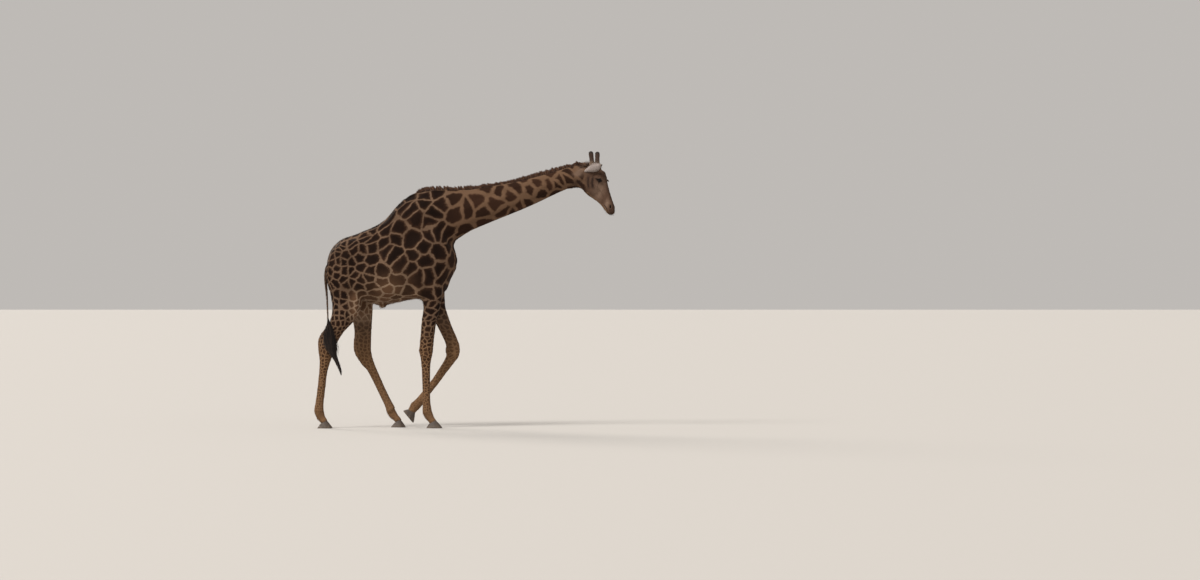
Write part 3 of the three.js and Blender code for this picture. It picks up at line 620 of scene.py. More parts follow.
move_points(skin.data, points)
print("legs fuller by up to", gain.max().round(1), "mm")

# %% [markdown]
# ## Finer net on the head
#
# The face is what people look at, so its net is made finer before it is shaped: one cut
# over the whole head, a second over the face and a third round the eyes, nostrils and lips.

# %% Subdivide the head
def eye_middle(side):
    return from_head([EYE[0], side * EYE[1], EYE[2]])


def eye_view(points, side):
    """Millimetres from an eye's middle: ahead, out of the head, and up."""
    seen = rotated((points - eye_middle(side)) * 1000, -HEAD_TURN)
    seen[..., 1] *= side
    return seen


def eye_back(seen, side):
    seen = seen.copy()
    seen[..., 1] *= side
    return eye_middle(side) + rotated(seen, HEAD_TURN) / 1000


MOUTH_LINE = [(1880, 2748), (1864, 2782), (1848, 2822), (1830, 2860), (1811, 2888)]
NOSTRIL = np.array([1890.0, 40.0, 2868.0])


def head_region(points, level):
    """Which points belong to the head, its face, or its finest places."""
    x, y, z = to_head(points).T
    if level == 0:
        return (x > 1470) & (z < 3480)
    if level == 1:
        return (x > 1610) & (z - 3300 < (x - 1610) * 0.9)
    near_eye = np.zeros(len(points), bool)
    for side in (1, -1):
        near_eye |= np.linalg.norm(eye_view(points, side), axis=1) < 47
    lips, _ = gap_to_line(x, z, MOUTH_LINE)
    nose = np.hypot(x - NOSTRIL[0], z - NOSTRIL[2]) < 38
    return near_eye | (lips < 11) | (nose & (np.abs(y) > 14))


for level in range(3):
    chosen = head_region(vectors_of(skin.data.polygons, "center"), level)
    edited(skin, chosen, bpy.ops.mesh.subdivide, number_cuts=1)
    points = points_of(skin.data)
    on_head = head_region(points, min(level, 1)).astype(float)
    points = relaxed(points, edges_of(skin.data), 6 if level < 2 else 2, on_head)
    move_points(skin.data, points)
triangles = sum(len(face.vertices) - 2 for face in skin.data.polygons)
print("skin with a fine head:", triangles, "triangles")

# %% [markdown]
# ## The face
#
# The forms of the face are pushed in and out along the surface: soft bumps for muscle and
# bone, lines for creases and veins. Each is a short rule in head millimetres, like a
# sculptor's stroke, and both sides get the same one. Most of them stand in a table too.

# %% Strokes on the head
CREST = [(1716, 3168), (1752, 3112), (1784, 3052), (1806, 2996)]
VEIN = [(1800, 2912), (1778, 2962), (1742, 3012), (1716, 3058), (1700, 3108), (1712, 3150)]
FACE_FORMS = [
    (7, mound, (1640, 3120), (52, 80), -30),  # chewing muscle
    (-8, mound, (1748, 3062), (30, 70), -28),  # hollow before the cheek
    (4, mound, (1800, 3252), (26, 22)),  # brow before the eye
    (-5, mound, (1822, 3190), (14, 30), -20),  # hollow before the eye
    (5, mound, (1850, 2950), (20, 60), -20),  # nasal bulge
    (6, stroke, CREST, 10, 0.25),
    (-3.5, mound, (1812, 3070), (16, 70), -20),
    (-9, mound, (1700, 3282), (28, 24)),  # temple
    (-4, stroke, [(1585, 3230), (1572, 3170), (1584, 3110), (1620, 3048)], 12),
    (2.2, stroke, VEIN, 4.5),
    (1.6, stroke, [(1742, 3012), (1770, 3040), (1790, 3090)], 3.5),
    (4, mound, (1828, 2822), (22, 26)),  # lower lip and chin
    (3, mound, (1884, 2806), (20, 34), -20),  # upper lip
]


def face_forms(points):
    """How far each point of the head moves out, in millimetres."""
    x, y, z = to_head(points).T
    flank = ramp(12, 34, np.abs(y))  # the sides of the head, not its front or underside
    out = formed(x, z, FACE_FORMS)
    out *= flank
    lips, along = gap_to_line(x, z, MOUTH_LINE)
    out -= 8 * bell(lips, 0, 3.4) * ramp(0, 0.15, 1 - along)
    out += 1.6 * bell(lips, 8, 4) * ramp(0, 0.2, 1 - along)
    slit_long = (x - NOSTRIL[0]) * 0.1 - (z - NOSTRIL[2]) * 0.995
    slit_wide = (x - NOSTRIL[0]) * 0.995 + (z - NOSTRIL[2]) * 0.1
    slit_wide += 0.012 * (slit_long - 6) ** 2 - 3
    inside = np.hypot(slit_long / 24, slit_wide / 7.5)
    out -= 15 * (1 - ramp(0.45, 1.15, inside)) * flank
    out += 4.5 * bell(inside, 1.75, 0.55) * flank
    return out * ramp(1490, 1560, x)


points, normals = points_of(skin.data), normals_of(skin.data)
points += normals * (face_forms(points) / 1000)[:, None]
move_points(skin.data, points)
print("face formed")

# %% [markdown]
# An eye sits in the head with its lids wrapped over it. Round each eye the skin is laid on
# a ball a little larger than the eye, and within the opening it dips inside the eye, so the
# eye itself fills the opening and the lid keeps a real edge. The upper lid hangs low, as a
# giraffe's does when it looks down, and two creases run over it.

# %% Lids
LID_OVER_EYE = 3.2
LEAST_COVER = 2.6
GAZE = unit(np.array([0.22, 1.0, -0.1]))
EYE_TILT = math.radians(24)  # the front corner is the lower one
OPENING = {"half_length": 26.0, "above": 11.5, "below": 12.5}


def eye_axes():
    long_axis = np.array([math.cos(EYE_TILT), 0, -math.sin(EYE_TILT)])
    long_axis = unit(long_axis - GAZE * (long_axis @ GAZE))
    up = np.cross(long_axis, GAZE)
    return long_axis, up if up[2] > 0 else -up


def lid_places(seen):
    """Along and across the opening, and the distance outside its edge, in millimetres."""
    long_axis, up = eye_axes()
    ball = EYE_RADIUS + LID_OVER_EYE
    ahead = seen @ GAZE
    along = np.arctan2(seen @ long_axis, np.maximum(ahead, 1)) * ball
    across = np.arctan2(seen @ up, np.maximum(ahead, 1)) * ball
    share = np.clip(np.abs(along) / OPENING["half_length"], 0, 1)
    height = np.where(across > 0, OPENING["above"], OPENING["below"])
    edge = height * (1 - share**2) ** 0.8
    past_corner = np.abs(along) > OPENING["half_length"]
    beyond = np.hypot(np.abs(along) - OPENING["half_length"], across)
    gap = np.where(past_corner, beyond, np.abs(across) - edge)
    return along, across, np.where(ahead > 0, gap, 99)


points = points_of(skin.data)
for side in (1, -1):
    seen = eye_view(points, side)
    reach = np.linalg.norm(seen, axis=1)
    near = reach < 60
    local = seen[near]
    along, across, gap = lid_places(local)
    radius = reach[near]
    lid = EYE_RADIUS + LID_OVER_EYE + 1.2 * bell(gap, 2, 2)
    lid = np.where(gap < 0, EYE_RADIUS - 5, lid)
    upper = across > 0
    crease = np.where(
        upper,
        -2.4 * bell(gap, 8, 1.8) - 1.4 * bell(gap, 14, 2),
        -1.6 * bell(gap, 6, 1.6) - 1.1 * bell(gap, 11, 2),
    )
    hold = 1 - ramp(9, 24, gap)
    target = np.where(upper, np.maximum(lid, np.minimum(radius, lid + gap * 0.35)), lid)
    new = radius * (1 - hold) + target * hold + crease * (1 - ramp(16, 30, gap))
    brow = 6 * np.exp(-(((across - 27) / 11) ** 2) - (along / 30) ** 2) * (gap < 90)
    new += brow * ramp(4, 16, gap)
    new = np.where(gap >= 0, np.maximum(new, EYE_RADIUS + LEAST_COVER), new)
    seen[near] = local * (new / np.maximum(radius, 1))[:, None]
    points[near] = eye_back(seen[near], side)
move_points(skin.data, points)
print("lids laid over the eyes")

# %% [markdown]
# The tail is too thin for the voxel net, so its solid is cut finer and smoothed instead. Its
# root is pushed a little way into the rump, and the hair over the dock hides the join.

# %% Add the tail to the skin
ROOT_PUSH = Vector((0.035, 0.0, 0.012))
tail = copy_of("tail", "tail_skin")
rump = tree_of(copy_of("trunk", "rump_probe"))
for vertex in tail.data.vertices:
    if rump.find_nearest(vertex.co, 0.004)[0] is not None:
        vertex.co += ROOT_PUSH
bpy.data.objects.remove(bpy.data.objects["rump_probe"])
apply_modifier(tail, "SUBSURF", levels=1, render_levels=1)
tail_points = points_of(tail.data)
tail_points = relaxed(tail_points, edges_of(tail.data), 4)
tail_points -= normals_of(tail.data) * 0.003
move_points(tail.data, tail_points)
deselect()
tail.select_set(True)
skin.select_set(True)
bpy.context.view_layer.objects.active = skin
bpy.ops.object.join()
work_on(skin)
bpy.ops.object.shade_smooth()
print("skin with its tail:", len(skin.data.vertices), "points")
skin_faces = tree_of(skin)

# %% [markdown]
# ## Markings that shrink down the legs
#
# A giraffe's patches are about as wide as a hand is long on the neck and trunk, smaller on
# the haunch, and only spots on the shanks. One cell pattern makes them all, if it is read
# not at a point's place but at its place on a ruler whose steps grow shorter where the
# patches are smaller. The hide is rolled out flat for this, as a tanner would lay it: where
# it turns away over the back, the chest or a leg, the ruler runs on round the bend, and the
# patches keep their shape there. The ruler is worked out once per point and kept as an
# attribute. Three more attributes say which region a point belongs to, how wide the lines
# are and how dark the bare skin and the painted shade round the eyes are, and what marks the face
# has.

# %% Where each point stands in the pattern
PATCH_X = [-1900, -1600, -1250, -900, -500, 0, 600, 1200, 1500]
PATCH_SIZE = [92, 104, 138, 184, 204, 212, 194, 164, 136]
LEG_Z = [0, 100, 400, 700, 1000, 1300, 1500, 1750]
LEG_SPOT = [30, 31, 35, 40, 48, 60, 76, 96]
LEG_TOP_Z = 1750
GIRTH_STEP = 90.0
GIRTH_X, GIRTH = [-1700, -1250, -500, -250], [300, 330, 300, 240]  # half widths of the trunk
TRUNK_TOP, TRUNK_FRONT = 2520, 200
BELLY_Z, LEG_ROOT_Z = 1650, 1500
ROLL = 0.8  # how much the rolled out hide adds, which keeps patches round on a round body
WAIST_X = -930  # the legs in front of it are the forelegs
# Where the middle of each leg runs, as height and place along the body.
LEG_PATHS = {
    "foreleg_right": ([80, 330, 925, 1220, 1720], [-430, -513, -519, -498, -445]),
    "foreleg_left": ([190, 360, 590, 955, 1270, 1720], [-736, -600, -418, -180, -268, -425]),
    "hindleg_right": ([80, 345, 700, 1060, 1348, 1800], [-1832, -1894, -1852, -1792, -1652, -1560]),
    "hindleg_left": ([80, 325, 768, 1060, 1460, 1800], [-892, -1036, -1248, -1352, -1370, -1450]),
}


def leg_of(body):
    """Which leg each point is on, or nearest to, as its number in LEGS."""
    x, y, z = body.T
    split = np.where(z < 1300, -860 - (z - 300) * 0.25, WAIST_X)
    left_split = np.where(z < 700, -820, WAIST_X + 100)
    on_left = y > 10
    fore = np.where(on_left, x > left_split, x > split)
    return np.where(fore, 0, 2) + on_left


def span(place, value, chosen, low, step):
    """The middle and half width of the chosen points' values, at each place on a line."""
    row = ((place - low) / step).astype(int).clip(0)
    most, least = np.full(row.max() + 1, -1e4), np.full(row.max() + 1, 1e4)
    np.maximum.at(most, row[chosen], value[chosen])
    np.minimum.at(least, row[chosen], value[chosen])
    known = most > -1e4
    centres = ((np.arange(len(most)) + 0.5) * step + low)[known]
    most, least = most[known], least[known]
    return [np.interp(place, centres, v) for v in ((most + least) / 2, (most - least) / 2)]


def walked(value, low, high, stops, sizes):
    """How many patches lie between low and each value, if patch sizes change on the way."""
    steps = np.linspace(low, high, 400)
    count = np.cumsum(np.diff(steps) / np.interp(steps[1:], stops, sizes))
    return np.interp(value, steps, np.concatenate([[0], count]))


def pattern_place(body, normals):
    """Along the body, down its side, and the neck's share. Where the hide turns away from
    the side it is rolled out flat, over the back as well as round the chest and legs."""
    x, y, z = body.T
    size = np.interp(x, PATCH_X, PATCH_SIZE)
    spot = np.interp(z, LEG_Z, LEG_SPOT)
    along = walked(x, -2000, 2000, PATCH_X, PATCH_SIZE)
    down = (np.maximum(z, LEG_TOP_Z) - 2000) / size
    down -= walked(LEG_TOP_Z, 0, LEG_TOP_Z, LEG_Z, LEG_SPOT)
    down += walked(np.minimum(z, LEG_TOP_Z), 0, LEG_TOP_Z, LEG_Z, LEG_SPOT)
    onto_leg = 1 - ramp(1400, 1640, z)
    plane, half = span(x, y, z > BELLY_Z, -2000, GIRTH_STEP)
    on_trunk = (z < TRUNK_TOP) & (x < TRUNK_FRONT)
    half = np.where(on_trunk, np.interp(x, GIRTH_X, GIRTH), half)
    roll = ROLL * np.maximum(half - np.abs(y - plane), 0) / size * (1 - onto_leg)
    leg_number = leg_of(body)
    for number, leg in enumerate(LEGS):
        own = leg_number == number
        middle = np.interp(z, *LEG_PATHS[leg])
        across, leg_half = span(z, y, own & (z < LEG_ROOT_Z), 0, GIRTH_STEP)
        on_own = onto_leg * own
        along += (x - middle) * (1 / spot - 1 / LEG_SPOT[-1]) * on_own
        roll += ROLL * np.maximum(leg_half - np.abs(y - across), 0) / spot * on_own
    along += normals[:, 0] * roll + 0.3 * y / 200
    down += normals[:, 2] * roll - 0.25 * y / 200
    return np.stack([along, down, ramp(-420, -60, x)], 1)


def coat_zones(points):
    """Shares of face, shank and belly in each point's colour; the belly share also holds painted
    light on the lower flank.
    """
    body, head = to_body(points), to_head(points)
    x, y, z = body.T
    face = ramp(1545, 1625, head[:, 0] - 0.12 * (3250 - head[:, 2]))
    shank = 1 - ramp(850, 1480, z)
    under = ramp(1860, 1640, z) * ramp(-1560, -1420, x) * ramp(-520, -680, x)
    under *= ramp(1300, 1480, z)
    inside = ramp(110, 40, np.abs(y)) * ramp(1750, 1500, z) * ramp(900, 1300, z)
    # painted light: the lower flank before the thigh gets the pale belly colours where light falls
    # on it
    painted_light_flank = 0.95 * mound(x, z, (-985, 1790), (250, 190))
    tip = mound(x, z, (-1078, 1590), (90, 60))
    belly = np.clip(np.maximum(under + 0.7 * inside, painted_light_flank) + tip, 0, 1)
    return np.stack([face, shank, belly], 1)


LINE_Z = [0, 500, 1000, 1500, 1900, 2300]
LINE_WIDE = [0.13, 0.125, 0.11, 0.085, 0.055, 0.048]  # half of a pale line, in cells
FADE_Z, FADE = [90, 240, 500, 850], [0.0, 0.75, 0.95, 1.0]  # how strong the patches are
EYE_CORNER = 33  # how far a dark corner lies from the eye's middle, in millimetres


def coat_marks(points, normals):
    """How wide the pale lines are in the pattern, how dark the bare skin and the painted shade
    round the eyes are, and how strong the patches are, which fade down the legs and on their inner
    sides."""
    body, head = to_body(points), to_head(points)
    z = body[:, 2]
    line = np.interp(z, LINE_Z, LINE_WIDE)
    line += 0.02 * ramp(-1100, -1500, body[:, 0])
    line += 0.034 * ramp(-300, 400, body[:, 0])  # the neck's patches stand further apart
    dark = np.zeros(len(points))
    for side in (1, -1):
        seen = eye_view(points, side)
        near = np.linalg.norm(seen, axis=1) < 90
        along, across, gap = lid_places(seen[near])
        # dark bare skin at the lids' edge, fading out over 42 mm as painted shade of the lids round
        # the eye
        lid = 1 - ramp(12, 42, gap)
        corner = np.minimum(np.abs(along - EYE_CORNER), np.abs(along + EYE_CORNER))
        lid = np.maximum(lid, 0.85 * np.exp(-(corner**2 + 2 * (across + 3) ** 2) / 200))
        dark[near] = np.maximum(dark[near], lid)
    hx, hy, hz = head.T
    lips, _ = gap_to_line(hx, hz, MOUTH_LINE)
    in_face = ramp(1700, 1760, hx)
    nose = np.hypot((hx - NOSTRIL[0]) / 10, (hz - NOSTRIL[2]) / 26)
    cheek = ramp(30, 60, np.abs(hy))
    bare_places = [
        0.85 * bell(lips, 0, 5) * in_face,
        0.95 * (1 - ramp(0.5, 1.25, nose)) * ramp(14, 26, np.abs(hy)),
        0.5 * (mound(hx, hz, (1752, 3262), (11, 9)) * cheek),
        0.6 * mound(body[:, 0], z, (1440, 3185), (90, 46), 15),  # throat
    ]
    for line_x, width, share in ((1630, 17, 0.74), (1684, 19, 0.8)):
        line_down = [(line_x, 3290), (line_x - 8, 3170), (line_x + 6, 3075)]
        bare_places.append(share * stroke(hx, hz, line_down, width, 0.3) * cheek)
    dark = np.max([dark, *bare_places], axis=0)
    fade = np.interp(z, FADE_Z, FADE)
    inner = ramp(0.1, 0.8, -np.sign(body[:, 1]) * normals[:, 1]) * ramp(1600, 1350, z)
    fade *= 1 - 0.4 * inner
    return np.stack([line, dark, fade], 1)


def keep(mesh, name, values):
    """Keeps one vector for each point, for the materials to read."""
    attribute = mesh.attributes.new(name, "FLOAT_VECTOR", "POINT")
    attribute.data.foreach_set("vector", np.asarray(values, np.float32).ravel())


def face_marks(points, normals):
    """The dark band down the nose, the pale cheek and the tan chin."""
    x, y, z = to_head(points).T
    ahead = rotated(normals, -HEAD_TURN)[:, 0]
    band = ramp(52, 8, np.abs(y)) * ramp(0.1, 0.8, ahead) * ramp(1690, 1790, x)
    band = np.maximum(band, 0.8 * ramp(2860, 2790, z) * ramp(1868, 1885, x))
    band = np.maximum(band, 0.9 * mound(x, z, (1800, 3290), (44, 50)))
    pale = mound(x, z, (1745, 3080), (60, 120), -25) + mound(x, z, (1845, 2905), (30, 60), -15)
    pale += 1.1 * mound(x, z, (1530, 3330), (62, 62)) + 0.8 * mound(x, z, (1470, 3290), (50, 40))
    chin = ramp(60, 20, z - 2830 - (1800 - x) * 0.95) * ramp(1880, 1850, x)
    return np.stack([band, np.clip(pale, 0, 1), chin], 1)


points, normals = points_of(skin.data), normals_of(skin.data)
broad = unit(relaxed(normals, edges_of(skin.data), 12, None, 0.5, 0.0))
skin_carried = {
    "pattern": pattern_place(to_body(points), broad),
    "zones": coat_zones(points),
    "marks": coat_marks(points, broad),
    "face_marks": face_marks(points, normals),
}
for key, values in skin_carried.items():
    keep(skin.data, key, values)
print("pattern spans", np.ptp(skin_carried["pattern"], axis=0).round(1), "cells")

# %% [markdown]
# ## The coat's colours
#
# Short hair is matt, a little lighter at the tips, and lies in one direction, which shows as
# fine streaks. The material mixes the patch colour and the line colour by the distance to
# the nearest cell edge, roughened by noise so that each edge is ragged as hair makes it.
# Every patch is its own shade. The same material dresses the skin and each tuft that grows
# from it, since both carry the same four attributes.

# %% A few node helpers
def node(tree, kind, **settings):
    made = tree.nodes.new(kind)
    for name, value in settings.items():
        setattr(made, name, value)
    return made


def feed(tree, target, value):
    """Links an output to a socket, or sets the socket to a plain value."""
    if isinstance(value, bpy.types.NodeSocket):
        tree.links.new(value, target)
    else:
        target.default_value = value


def calc(tree, operation, a, b=0.0, clamp=False):
    made = node(tree, "ShaderNodeMath", operation=operation, use_clamp=clamp)
    feed(tree, made.inputs[0], a)
    feed(tree, made.inputs[1], b)
    return made.outputs[0]


def scaled(tree, value, by, plus):
    """The value times by, and plus added."""
    total = calc(tree, "MULTIPLY_ADD", value, by)
    feed(tree, total.node.inputs[2], plus)
    return total


def mixed(tree, share, a, b, blend="MIX"):
    made = node(tree, "ShaderNodeMix", data_type="RGBA", blend_type=blend)
    feed(tree, made.inputs["Factor"], share)
    feed(tree, made.inputs["A"], a)
    feed(tree, made.inputs["B"], b)
    return made.outputs["Result"]


def layered(tree, base, *layers):
    """Lays colours over a base one by one. A layer is a share, its strength and a colour."""
    for share, strength, tint in layers:
        base = mixed(tree, calc(tree, "MULTIPLY", share, strength), base, tint)
    return base


def noise(tree, vector, scale, detail=2.0, roughness=0.5, stretch=None, turn=None):
    if stretch or turn:
        mapping = node(tree, "ShaderNodeMapping")
        feed(tree, mapping.inputs["Vector"], vector)
        mapping.inputs["Scale"].default_value = stretch or (1, 1, 1)
        mapping.inputs["Rotation"].default_value = turn or (0, 0, 0)
        vector = mapping.outputs["Vector"]
    made = node(tree, "ShaderNodeTexNoise")
    feed(tree, made.inputs["Vector"], vector)
    made.inputs["Scale"].default_value = scale
    made.inputs["Detail"].default_value = detail
    made.inputs["Roughness"].default_value = roughness
    return made.outputs["Fac"]


def pushed(tree, by, scale, detail, reach, vector):
    """A vector pushed about sideways by noise that is read at another one."""
    push = node(tree, "ShaderNodeTexNoise")
    feed(tree, push.inputs["Vector"], by)
    push.inputs["Scale"].default_value = scale
    push.inputs["Detail"].default_value = detail
    made = node(tree, "ShaderNodeVectorMath", operation="MULTIPLY_ADD")
    feed(tree, made.inputs[0], push.outputs["Color"])
    made.inputs[1].default_value = (reach, reach, 0.0)
    feed(tree, made.inputs[2], vector)
    return made.outputs[0]


def voronoi(tree, cells, feature):
    made = node(tree, "ShaderNodeTexVoronoi", feature=feature, voronoi_dimensions="2D")
    feed(tree, made.inputs["Vector"], cells)
    made.inputs["Scale"].default_value = 1.0
    made.inputs["Randomness"].default_value = CELL_ORDER
    return made.outputs


def node_height(tree, place):
    parts = node(tree, "ShaderNodeSeparateXYZ")
    feed(tree, parts.inputs[0], place)
    return parts.outputs[2]


def roughen(tree, shader, height, strength, depth):
    """Fine relief from a height, as deep as depth in metres."""
    bump = node(tree, "ShaderNodeBump")
    bump.inputs["Strength"].default_value = strength
    bump.inputs["Distance"].default_value = depth
    feed(tree, bump.inputs["Height"], height)
    feed(tree, shader.inputs["Normal"], bump.outputs["Normal"])


def between(tree, value, low, high):
    """A soft step from 0 at low to 1 at high."""
    made = node(tree, "ShaderNodeMapRange", interpolation_type="SMOOTHSTEP")
    feed(tree, made.inputs["Value"], value)
    feed(tree, made.inputs["From Min"], low)
    feed(tree, made.inputs["From Max"], high)
    return made.outputs["Result"]


def colour(red, green, blue):
    """A colour as a paint chart gives it, from 0 to 255, made linear."""
    chart = [v / 255 for v in (red, green, blue)]
    return (*[v / 12.92 if v <= 0.04045 else ((v + 0.055) / 1.055) ** 2.4 for v in chart], 1)


def new_look(name, roughness):
    look = bpy.data.materials.new(name)
    look.use_nodes = True
    shader = look.node_tree.nodes["Principled BSDF"]
    shader.inputs["Roughness"].default_value = roughness
    return look, look.node_tree, shader


def object_place(tree):
    return node(tree, "ShaderNodeTexCoord").outputs["Object"]


def attribute(tree, name):
    made = node(tree, "ShaderNodeAttribute", attribute_name=name)
    parts = node(tree, "ShaderNodeSeparateXYZ")
    feed(tree, parts.inputs[0], made.outputs["Vector"])
    return made.outputs["Vector"], parts.outputs


# %% The coat material
PATCH, PATCH_RIM = colour(26, 15, 10), colour(48, 31, 21)
NECK_PATCH = colour(56, 36, 25)
SHANK_PATCH, BELLY_PATCH = colour(66, 45, 31), colour(104, 76, 56)
LINE, LINE_DUSKY = colour(106, 84, 67), colour(88, 69, 55)
NECK_LINE = colour(101, 77, 59)
SHANK_LINE = colour(120, 91, 65)
BELLY = colour(142, 119, 98)
FACE, FACE_DUSKY = colour(82, 62, 50), colour(60, 43, 34)
FACE_PALE = colour(126, 104, 89)
CHIN = colour(108, 82, 58)
NOSE_BAND = colour(54, 38, 30)
# dark bare skin, and also the colour of the painted shade round the eyes
DARK_SKIN_AND_SHADE = colour(26, 19, 17)
RAGGED = 0.10  # how far noise moves a patch's edge, in cells
EDGE_SOFT, NECK_SOFT = 0.035, 0.07  # how wide a patch's edge is, and how much wider on the neck
DRIFT = 0.6  # how far whole patches are pushed about, in cells
WANDER = 0.36  # how far the lines stray from straight, in cells
CORNERS = 0.84  # how far from a patch's centre its corners are rounded off, in cells
CELL_ORDER = 0.82  # 1 is a wild pattern, 0 a chessboard
SKIN_STREAK, HAIR_STREAK = 0.74, 0.86  # how light the coat is between its fine streaks


def make_coat(name, hair):
    """The coat. On hair it is a shade lighter and has no bump."""
    look, tree, shader = new_look(name, 0.82)
    place = object_place(tree)
    pattern, (_, _, neck) = attribute(tree, "pattern")
    _, (face, shank, belly) = attribute(tree, "zones")
    _, (line, dark, fade) = attribute(tree, "marks")
    _, (band, pale_face, chin) = attribute(tree, "face_marks")

    cells = pushed(tree, pattern, 1.9, 3.0, WANDER, pattern)
    cells = pushed(tree, place, 3.2, 1.0, DRIFT, cells)  # differs from side to side
    edge = voronoi(tree, cells, "DISTANCE_TO_EDGE")
    own = voronoi(tree, cells, "F1")
    ragged = calc(tree, "SUBTRACT", noise(tree, place, 38, 4, 0.65), 0.5)
    trimmed = calc(tree, "SUBTRACT", CORNERS, calc(tree, "MULTIPLY", neck, 0.06))
    corner = calc(tree, "MULTIPLY", calc(tree, "SUBTRACT", trimmed, own["Distance"]), 0.7)
    rounded = calc(tree, "SMOOTH_MIN", edge["Distance"], corner)
    rounded.node.inputs[2].default_value = 0.08
    distance = scaled(tree, ragged, RAGGED, rounded)
    soft = scaled(tree, neck, NECK_SOFT, EDGE_SOFT)
    patch = between(tree, distance, line, calc(tree, "ADD", line, soft))
    patch = calc(tree, "MULTIPLY", patch, fade)
    patch = calc(tree, "MULTIPLY", patch, calc(tree, "SUBTRACT", 1.0, face))
    inner = between(tree, distance, calc(tree, "ADD", line, 0.02), calc(tree, "ADD", line, 0.2))

    own_parts = node(tree, "ShaderNodeSeparateXYZ")
    feed(tree, own_parts.inputs[0], own["Color"])
    shade = scaled(tree, own_parts.outputs[0], 0.5, 0.75)
    brown = mixed(tree, inner, PATCH_RIM, PATCH)
    regions = (neck, 0.6, NECK_PATCH), (shank, 0.85, SHANK_PATCH), (belly, 0.75, BELLY_PATCH)
    brown = layered(tree, brown, *regions)
    brown = mixed(tree, 1.0, brown, shade, "MULTIPLY")

    clouds = noise(tree, place, 5.5, 4, 0.6)
    pale = mixed(tree, between(tree, clouds, 0.3, 0.7), LINE, LINE_DUSKY)
    for share, tint in ((neck, NECK_LINE), (shank, SHANK_LINE), (belly, BELLY)):
        pale = mixed(tree, share, pale, tint)
    body = mixed(tree, patch, pale, brown)

    mottle = between(tree, noise(tree, place, 26, 4, 0.6), 0.3, 0.75)
    regions = (mottle, 0.6, FACE_DUSKY), (chin, 0.8, CHIN), (pale_face, 0.75, FACE_PALE)
    head = layered(tree, FACE, *regions)
    uneven = calc(tree, "MULTIPLY", band, between(tree, noise(tree, place, 45, 4, 0.7), 0.1, 0.75))
    head = mixed(tree, calc(tree, "MULTIPLY", uneven, 1.1, clamp=True), head, NOSE_BAND)
    on_head = calc(tree, "MAXIMUM", face, calc(tree, "MULTIPLY", pale_face, 0.8))
    body = mixed(tree, on_head, body, head)
    # dark bare skin, and the painted shade round the eyes
    body = mixed(tree, dark, body, DARK_SKIN_AND_SHADE)

    strands_along = noise(tree, place, 1.0, 2, 0.6, (46, 420, 420), (0, math.radians(-20), 0))
    strands_down = noise(tree, place, 1.0, 2, 0.6, (420, 420, 46))
    strands = calc(tree, "MAXIMUM", face, between(tree, node_height(tree, place), 1.75, 1.45))
    strand = node(tree, "ShaderNodeMix", data_type="FLOAT")
    feed(tree, strand.inputs["Factor"], strands)
    feed(tree, strand.inputs["A"], strands_along)
    feed(tree, strand.inputs["B"], strands_down)
    streak = scaled(tree, strand.outputs["Result"], 0.55, HAIR_STREAK if hair else SKIN_STREAK)
    body = mixed(tree, 1.0, body, streak, "MULTIPLY")
    feed(tree, shader.inputs["Base Color"], body)
    shader.inputs["Sheen Weight"].default_value = 0.02
    shader.inputs["Sheen Roughness"].default_value = 0.5
    shader.inputs["Specular IOR Level"].default_value = 0.06
    if not hair:
        folds = calc(tree, "MULTIPLY", noise(tree, place, 70, 3, 0.6), 0.5)
        height = scaled(tree, strand.outputs["Result"], 0.6, folds)
        roughen(tree, shader, height, 0.55, 0.003)
    return look


coat = make_coat("short_coat", hair=False)
coat_hair = make_coat("coat_hair", hair=True)
skin.data.materials.clear()
skin.data.materials.append(coat)
print("coat materials:", coat.name, coat_hair.name)

# %% [markdown]
# ## Eyes
#
# A giraffe's eye is large and dark, with a wide pupil that lies level. Each eye is a ball
# turned so that its pole looks out of the head. Its colours are rings round that pole, read
# from an attribute that holds each point's place on the ball.

# %% Eyeballs
def make_eye_look():
    look, tree, shader = new_look("eye", 0.06)
    ball, (along, across, _) = attribute(tree, "ball")
    wide = calc(tree, "POWER", calc(tree, "DIVIDE", along, 0.44), 2.0)
    tall = calc(tree, "POWER", calc(tree, "DIVIDE", across, 0.25), 2.0)
    pupil = between(tree, calc(tree, "ADD", wide, tall), 1.25, 0.85)
    squares = [calc(tree, "POWER", part, 2.0) for part in (along, across)]
    ring = calc(tree, "SQRT", calc(tree, "ADD", *squares))
    rays = noise(tree, ball, 9, 4, 0.7)
    iris = mixed(tree, rays, colour(19, 11, 8), colour(36, 22, 14))
    eye = mixed(tree, between(tree, ring, 0.62, 0.72), iris, colour(20, 14, 12))
    eye = mixed(tree, pupil, eye, colour(8, 6, 6))
    feed(tree, shader.inputs["Base Color"], eye)
    shader.inputs["Specular IOR Level"].default_value = 0.05
    shader.inputs["Coat Weight"].default_value = 0.25
    shader.inputs["Coat Roughness"].default_value = 0.02
    return look


eye_look = make_eye_look()
for side, which in ((1, "left"), (-1, "right")):
    deselect()
    bpy.ops.mesh.primitive_uv_sphere_add(
        segments=48, ring_count=32, radius=EYE_RADIUS / 1000, location=eye_middle(side)
    )
    eye = bpy.context.object
    eye.name = eye.data.name = "eyeball_" + which
    gaze = GAZE * [1, side, 1]
    gaze = Vector(rotated(gaze, HEAD_TURN))
    eye.rotation_euler = gaze.to_track_quat("Z", "Y").to_euler()
    bpy.ops.object.transform_apply(location=True, rotation=True, scale=True)
    bpy.ops.object.shade_smooth()
    seen = eye_view(points_of(eye.data), side)
    long_axis, up = eye_axes()
    ball = np.stack([seen @ long_axis, seen @ up, seen @ GAZE], 1) / EYE_RADIUS
    keep(eye.data, "ball", ball)
    eye.data.materials.append(eye_look)
    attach(eye, "root")
    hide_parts("eye_" + which)
print("eyes set")

# %% [markdown]
# ## Horns
#
# The horns of a giraffe are bone under skin and hair, not sheaths of horn. They are blunt,
# a little thicker at the top, and the hair is worn off their tips in an adult bull.

